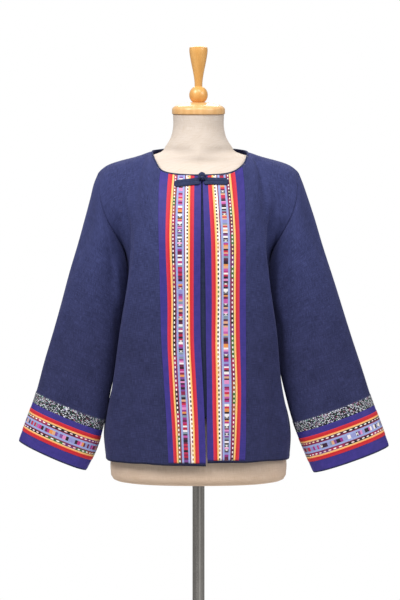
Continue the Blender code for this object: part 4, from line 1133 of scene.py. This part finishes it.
frogCut = {
    "knotX": 6.8, "knotHeight": 1299.5, "barHeight": 1289.0, "reach": {"right": 49.5, "left": 47.5},
    "start": 3.0, "cordGap": {"right": 0.06, "left": 0.45}, "cordHalf": 3.2, "cordWide": 4.1, "cordDeep": 1.3,
    "outerDrop": {"right": 5.0, "left": 0.6}, "corner": {"right": 1.2, "left": 2.2},
    "knotRadius": 5.3, "strand": 2.6,
}


def frontAtHeight(side, distance, height):
    station = float(np.interp(distance, trimCut["top"][side], range(bandStrips + 1)))
    column = np.array([upperPoint(panelCuts["front"], side, station, share) for share in np.linspace(0.4, 1.0, 40)])
    return np.array([np.interp(height, column[:, 2], values) for values in column.T])


def makeFrogBar(side):
    sign = sides[side]
    edge = frontEdge(side, frogCut["barHeight"])
    start = frogCut["start"] + sign * frogCut["knotX"] - edge
    end, half = frogCut["reach"][side] - frogCut["cordHalf"], frogCut["cordHalf"] + frogCut["cordGap"][side] / 2
    out = layers["ribbon"][1] + 0.15 + frogCut["cordDeep"]
    corner = frogCut["corner"][side]  # how far the cord's turn at the end of the bar is rounded
    places = [(distance, half) for distance in np.linspace(start, end - corner, 12)]
    places += [(end - corner + corner * sin(turn), half * np.sign(cos(turn)) * abs(cos(turn)) ** 0.5)
               for turn in np.linspace(0.0, pi, 9)[1:-1]]
    places += [(distance, -half) for distance in np.linspace(end - corner, start, 12)]
    path, normals = [], []
    for distance, rise in places:
        drop = frogCut["outerDrop"][side] * (distance - start) / (end - start)
        height = frogCut["barHeight"] + rise - drop
        point = frontAtHeight(side, distance, height)
        nearby = frontAtHeight(side, distance + 2.0, height), frontAtHeight(side, distance, height - 3.0)
        normal = np.cross(nearby[0] - point, point - nearby[1])
        normal *= -np.sign(normal[1]) / np.linalg.norm(normal)
        path.append((point + out * normal) * (sign, 1.0, 1.0))
        normals.append(normal * (sign, 1.0, 1.0))
    return sweptTube(f"{side}FrogCord", path, normals, frogCut["cordWide"], frogCut["cordDeep"], navyBias, 14)


for side in sides:
    dress(makeFrogBar(side), "navy_cloth", f"frog_bar_{side}")

knotY = frontAtHeight("left", 0.0, frogCut["knotHeight"])[1] - layers["ribbon"][1] - frogCut["knotRadius"] - 1.0
knotMiddle = np.array([frogCut["knotX"], knotY, frogCut["knotHeight"]])
turns = np.linspace(0.0, 2 * pi, 180, endpoint=False)
longitude, latitude = 3 * turns, 0.98 * np.sin(4 * turns)
outwards = np.column_stack((np.cos(latitude) * np.cos(longitude), -np.sin(latitude),
                            np.cos(latitude) * np.sin(longitude)))
lift = frogCut["knotRadius"] + 0.55 * np.sin(8 * turns + 0.6)
path = knotMiddle + outwards * lift[:, None] * (1.0, 0.95, 1.12)
knot = sweptTube("frogKnot", path, outwards, frogCut["strand"], frogCut["strand"] * 0.8, navyBias, 10, closed=True)
dress(knot, "navy_cloth", "frog_knot")
print("piping, frog and underlap ready")


# Dress form

formCut = {
    "levels": (  # height, half width, front, back, boxiness, tilt in degrees
        (699, 150, 90, 90, 2.3, 0), (701.5, 163, 102, 102, 2.3, 0), (708, 172, 110, 110, 2.3, 0),
        (720, 175, 112, 112, 2.3, 0), (750, 175, 113, 113, 2.3, 0), (800, 172, 113, 112, 2.3, 0),
        (860, 159, 108, 107, 2.3, 0), (920, 142, 99, 97, 2.3, 0), (980, 124, 92, 86, 2.3, 0),
        (1030, 115, 91, 80, 2.3, 0), (1080, 119, 99, 82, 2.3, 0), (1130, 130, 112, 89, 2.3, 0),
        (1165, 136, 117, 94, 2.3, 0), (1200, 139, 113, 98, 2.2, 0), (1240, 144, 101, 98, 2.1, 0),
        (1270, 157, 91, 92, 1.8, 0), (1295, 168, 81, 83, 1.55, 0), (1310, 169, 72, 75, 1.4, 0),
        (1322, 166, 61, 66, 1.35, 0), (1332, 160, 56, 60, 1.2, 0), (1341, 139, 57, 56, 1.12, 0),
        (1349, 97, 55, 52, 1.25, 0), (1356, 75, 53.5, 50, 1.5, 1),
        (1366, 67, 52, 48, 1.8, 4), (1384, 56, 50.5, 45, 2, 6), (1404, 51, 50, 43, 2, 8), (1431, 51, 53, 47, 2, 8),
    ),
    "segments": 96, "neckTilt": 8.0, "neckMiddle": -3.0, "step": 4.0,
    "cap": {"radius": 53.0, "edge": 9.0, "dome": 15.0},
    "ball": {"radius": 18.5, "cut": 12.0},
    "handle": (  # height above the ball's foot, radius
        (37.0, 7.65), (45.5, 8.6), (60.0, 11.0), (75.5, 14.2), (91.0, 17.0), (101.5, 18.2), (106.0, 17.9),
        (109.3, 15.6), (110.8, 9.0), (111.1, 2.0),
    ),
}


def formRing(row, height):
    halfWidth, front, back, box, tilt = row
    ring = []
    for angle in np.linspace(0.0, 2 * pi, formCut["segments"], endpoint=False):
        x = halfWidth * np.sign(cos(angle)) * abs(cos(angle)) ** (2 / box)
        y = (back if sin(angle) > 0 else front) * np.sign(sin(angle)) * abs(sin(angle)) ** (2 / box)
        ring.append((x, y, height + (y - formCut["neckMiddle"]) * tan(radians(tilt))))
    return ring


def ringedMesh(name, rings, material):
    count = len(rings[0])
    vertices = np.array(rings).reshape(-1, 3)
    faces = [tuple(range(count))[::-1], tuple((len(rings) - 1) * count + i for i in range(count))]
    for level in range(len(rings) - 1):
        low, high = level * count, (level + 1) * count
        faces += [(low + i, low + (i + 1) % count, high + (i + 1) % count, high + i) for i in range(count)]
    girth = np.concatenate([lengthsAlong(ring) for ring in np.array(rings)])
    rise = np.concatenate([np.full(count, length) for length in lengthsAlong(np.array(rings)[:, 0])])
    return makeMesh(name, vertices, faces, material, np.column_stack((girth, rise)))


heights = finer([row[0] for row in formCut["levels"]], formCut["step"])
rings = [formRing(rowAt(formCut["levels"], height), height) for height in heights]
dress(ringedMesh("formTorso", rings, linenCover), "form_linen", "form_torso")


def turnedMesh(name, profile, material, foot=(0.0, 0.0, 0.0), tilt=0.0, segments=72, ring=False):
    angles = np.linspace(0.0, 2 * pi, segments, endpoint=False)
    lean = radians(tilt)
    rings = []
    for radius, height in profile:
        x, y = radius * np.cos(angles), radius * np.sin(angles)
        turned = np.column_stack((x, y * cos(lean) - height * sin(lean), y * sin(lean) + height * cos(lean)))
        rings.append(turned + np.array(foot))
    if ring:
        rings.append(rings[0])
    piece = ringedMesh(name, rings, material)
    piece.data.set_sharp_from_angle(angle=radians(40))
    return piece


cap, ball = formCut["cap"], formCut["ball"]
foot = np.array([0.0, formCut["neckMiddle"], formCut["levels"][-1][0] + 0.3])
arc = [(cap["radius"] * cos(angle), cap["edge"] + cap["dome"] * sin(angle))
       for angle in np.linspace(0.0, radians(84), 16)]
under = [(cap["radius"] - 1.6 + 1.6 * sin(angle), 1.6 - 1.6 * cos(angle)) for angle in np.linspace(0.0, pi / 2, 5)]
dress(turnedMesh("formCap", under + arc, paleWood, foot, formCut["neckTilt"]), "turned_wood", "form_cap")
rise = cap["edge"] + cap["dome"] * sin(radians(76)) + 0.3
lean = radians(formCut["neckTilt"])
seat = foot + np.array([0.0, -rise * sin(lean), rise * cos(lean)])
middle = (ball["radius"] ** 2 - ball["cut"] ** 2) ** 0.5
waist = formCut["handle"][0][1]
low, high = -np.arctan(middle / ball["cut"]), np.arctan((ball["radius"] ** 2 - waist ** 2) ** 0.5 / waist)
profile = [(ball["radius"] * cos(angle), middle + ball["radius"] * sin(angle))
           for angle in np.linspace(low, high, 24)]
heights = finer([row[0] for row in formCut["handle"]], 2.0)
profile += [(rowAt(formCut["handle"], height)[0], height) for height in heights[1:]]
dress(turnedMesh("formHandle", profile, turnedWood, seat, formCut["neckTilt"]), "turned_wood", "form_handle")
print("dress form ready")


# Stand

standCut = {  # radii, but for the thickness, the bevel and the collar's height
    "pole": 12.0, "base": 190.0, "thickness": 16.0, "bevel": 4.0,
    "collar": 52.0, "collarFoot": 34.0, "collarTop": 19.0,
}


def roundedProfile(corners, reach=1.0, steps=4):  # softens the corners of a turned profile
    soft = []
    for before, corner, after in zip(corners[:-2], corners[1:-1], corners[2:]):
        before, corner, after = (np.array(point, dtype=float) for point in (before, corner, after))
        start = corner + (before - corner) * min(0.45, reach / np.linalg.norm(before - corner))
        end = corner + (after - corner) * min(0.45, reach / np.linalg.norm(after - corner))
        for t in np.linspace(0.0, 1.0, steps):
            soft.append(tuple((1 - t) ** 2 * start + 2 * t * (1 - t) * corner + t * t * end))
    return [corners[0], *soft, corners[-1]]


bevel, thick = standCut["bevel"], standCut["thickness"]
baseLine = [(standCut["base"] - bevel, 0.0), (standCut["base"], bevel), (standCut["base"], thick - bevel),
            (standCut["base"] - bevel, thick), (standCut["collarFoot"] + 30.0, thick + 0.05), (2.0, thick + 0.1)]
dress(turnedMesh("standBase", roundedProfile(baseLine, 2.0), darkBase, segments=128), "dark_base", "stand_base")
low = thick + 0.3
collarLine = [(standCut["pole"] + 0.3, low), (standCut["collarFoot"], low), (standCut["collarFoot"], low + 6.0),
              (standCut["collarTop"], low + 16.0), (standCut["collarTop"], low + standCut["collar"]),
              (standCut["pole"] + 0.3, low + standCut["collar"])]
collar = turnedMesh("standCollar", roundedProfile(collarLine, 1.5), brushedSteel, ring=True)
dress(collar, "brushed_steel", "stand_collar")
poleTop = formCut["levels"][0][0] - 0.3
poleLine = [(standCut["pole"] - 0.1, low), *[(standCut["pole"], z) for z in np.linspace(low + 0.5, poleTop, 40)]]
dress(turnedMesh("standPole", poleLine, brushedSteel), "brushed_steel", "stand_pole")
print("stand ready")


# How each piece of cloth was cut: width, length and area in metres, and how it is held

cuts = {
    "rightFront": (0.30, 0.66, 0.160, "hung"),
    "leftFront": (0.29, 0.66, 0.150, "hung"),
    "backPanel": (0.56, 0.66, 0.300, "hung"),
    "rightSleeve": (0.42, 0.57, 0.170, "hung"),
    "leftSleeve": (0.44, 0.59, 0.180, "hung"),
    "frontUnderlap": (0.042, 0.50, 0.0205, "hung"),
    "rightFrontBand": (0.081, 0.56, 0.0452, "laid"),
    "leftFrontBand": (0.081, 0.56, 0.0452, "laid"),
    "rightFrontRibbon": (0.054, 0.56, 0.0302, "laid"),
    "leftFrontRibbon": (0.054, 0.56, 0.0302, "laid"),
    "rightCuffBand": (0.084, 0.33, 0.0277, "laid"),
    "leftCuffBand": (0.084, 0.35, 0.0294, "laid"),
    "rightCuffRibbon": (0.051, 0.33, 0.0168, "laid"),
    "leftCuffRibbon": (0.051, 0.35, 0.0178, "laid"),
    "rightCuffStitching": (0.023, 0.33, 0.0076, "laid"),
    "leftCuffStitching": (0.023, 0.35, 0.008, "laid"),
}
for name, (wide, long, area, held) in cuts.items():
    piece = pieces[name]
    surface = sum(face.area for face in piece.data.polygons) / 2
    print("cut", name, "surface", round(surface, 4), "flat", (wide, long), "area", area)
    side = "left" if name.startswith("left") else "right"
    under = side + ("Front" if "Front" in name else "Sleeve")


# Floor, light and camera

studio = {
    "floorRadius": 1.4, "worldLight": 0.30, "worldSeen": 1.0,
    "lamps": (  # x, y, z, size, power
        (-1.6, -1.6, 3.0, 1.3, 62.0), (2.2, -1.9, 2.4, 1.5, 34.0), (0.3, -1.8, 3.3, 1.4, 34.0),
        (0.0, 1.8, 3.0, 1.4, 24.0),
    ),
    "aim": (0.0, 0.0, 1.05),
    "eye": (0.003, -3.0, 1.06), "lens": 90.0, "sensor": 36.0,
}
floorPaint = newFinish("paleFloor", {"Roughness": 0.7})
wire(ramp(noise(objectPlace(), 3.0, 3.0), [(0.3, "f3f2f0"), (0.7, "f8f7f6")]), "Base Color")
angles = np.linspace(0.0, 2 * pi, 96, endpoint=False)
ring = np.column_stack((np.cos(angles), np.sin(angles), np.zeros(96))) * studio["floorRadius"] * 1000
floor = makeMesh("floor", ring - (0, 0, 0.2), [tuple(range(96))], floorPaint)
del pieces["floor"]

sky = bpy.data.worlds.new("paleStudio")
sky.use_nodes = True
tree = sky.node_tree
background = tree.nodes["Background"]
background.inputs["Color"].default_value = (1.0, 1.0, 1.0, 1.0)
seen = add("ShaderNodeLightPath", {})
strength = seen * (studio["worldSeen"] - studio["worldLight"]) + studio["worldLight"]
tree.links.new(strength.socket, background.inputs["Strength"])
scene.world = sky

aim = bpy.data.objects.new("aim", None)
aim.location = studio["aim"]
scene.collection.objects.link(aim)
for number, (x, y, z, size, power) in enumerate(studio["lamps"]):
    data = bpy.data.lights.new(f"softbox{number}", "AREA")
    data.shape, data.size, data.energy = "DISK", size, power
    lamp = bpy.data.objects.new(f"softbox{number}", data)
    lamp.location = (x, y, z)
    track = lamp.constraints.new("TRACK_TO")
    track.target, track.track_axis, track.up_axis = aim, "TRACK_NEGATIVE_Z", "UP_Y"
    scene.collection.objects.link(lamp)

eye = bpy.data.cameras.new("eye")
eye.lens, eye.sensor_width, eye.sensor_fit = studio["lens"], studio["sensor"], "AUTO"
eye.clip_end = 50.0
camera = bpy.data.objects.new("eye", eye)
camera.location = studio["eye"]
camera.rotation_euler = (radians(90), 0.0, 0.0)
scene.collection.objects.link(camera)
scene.camera = camera
scene.view_settings.view_transform = "Standard"
scene.view_settings.look = "None"
print("stage ready")
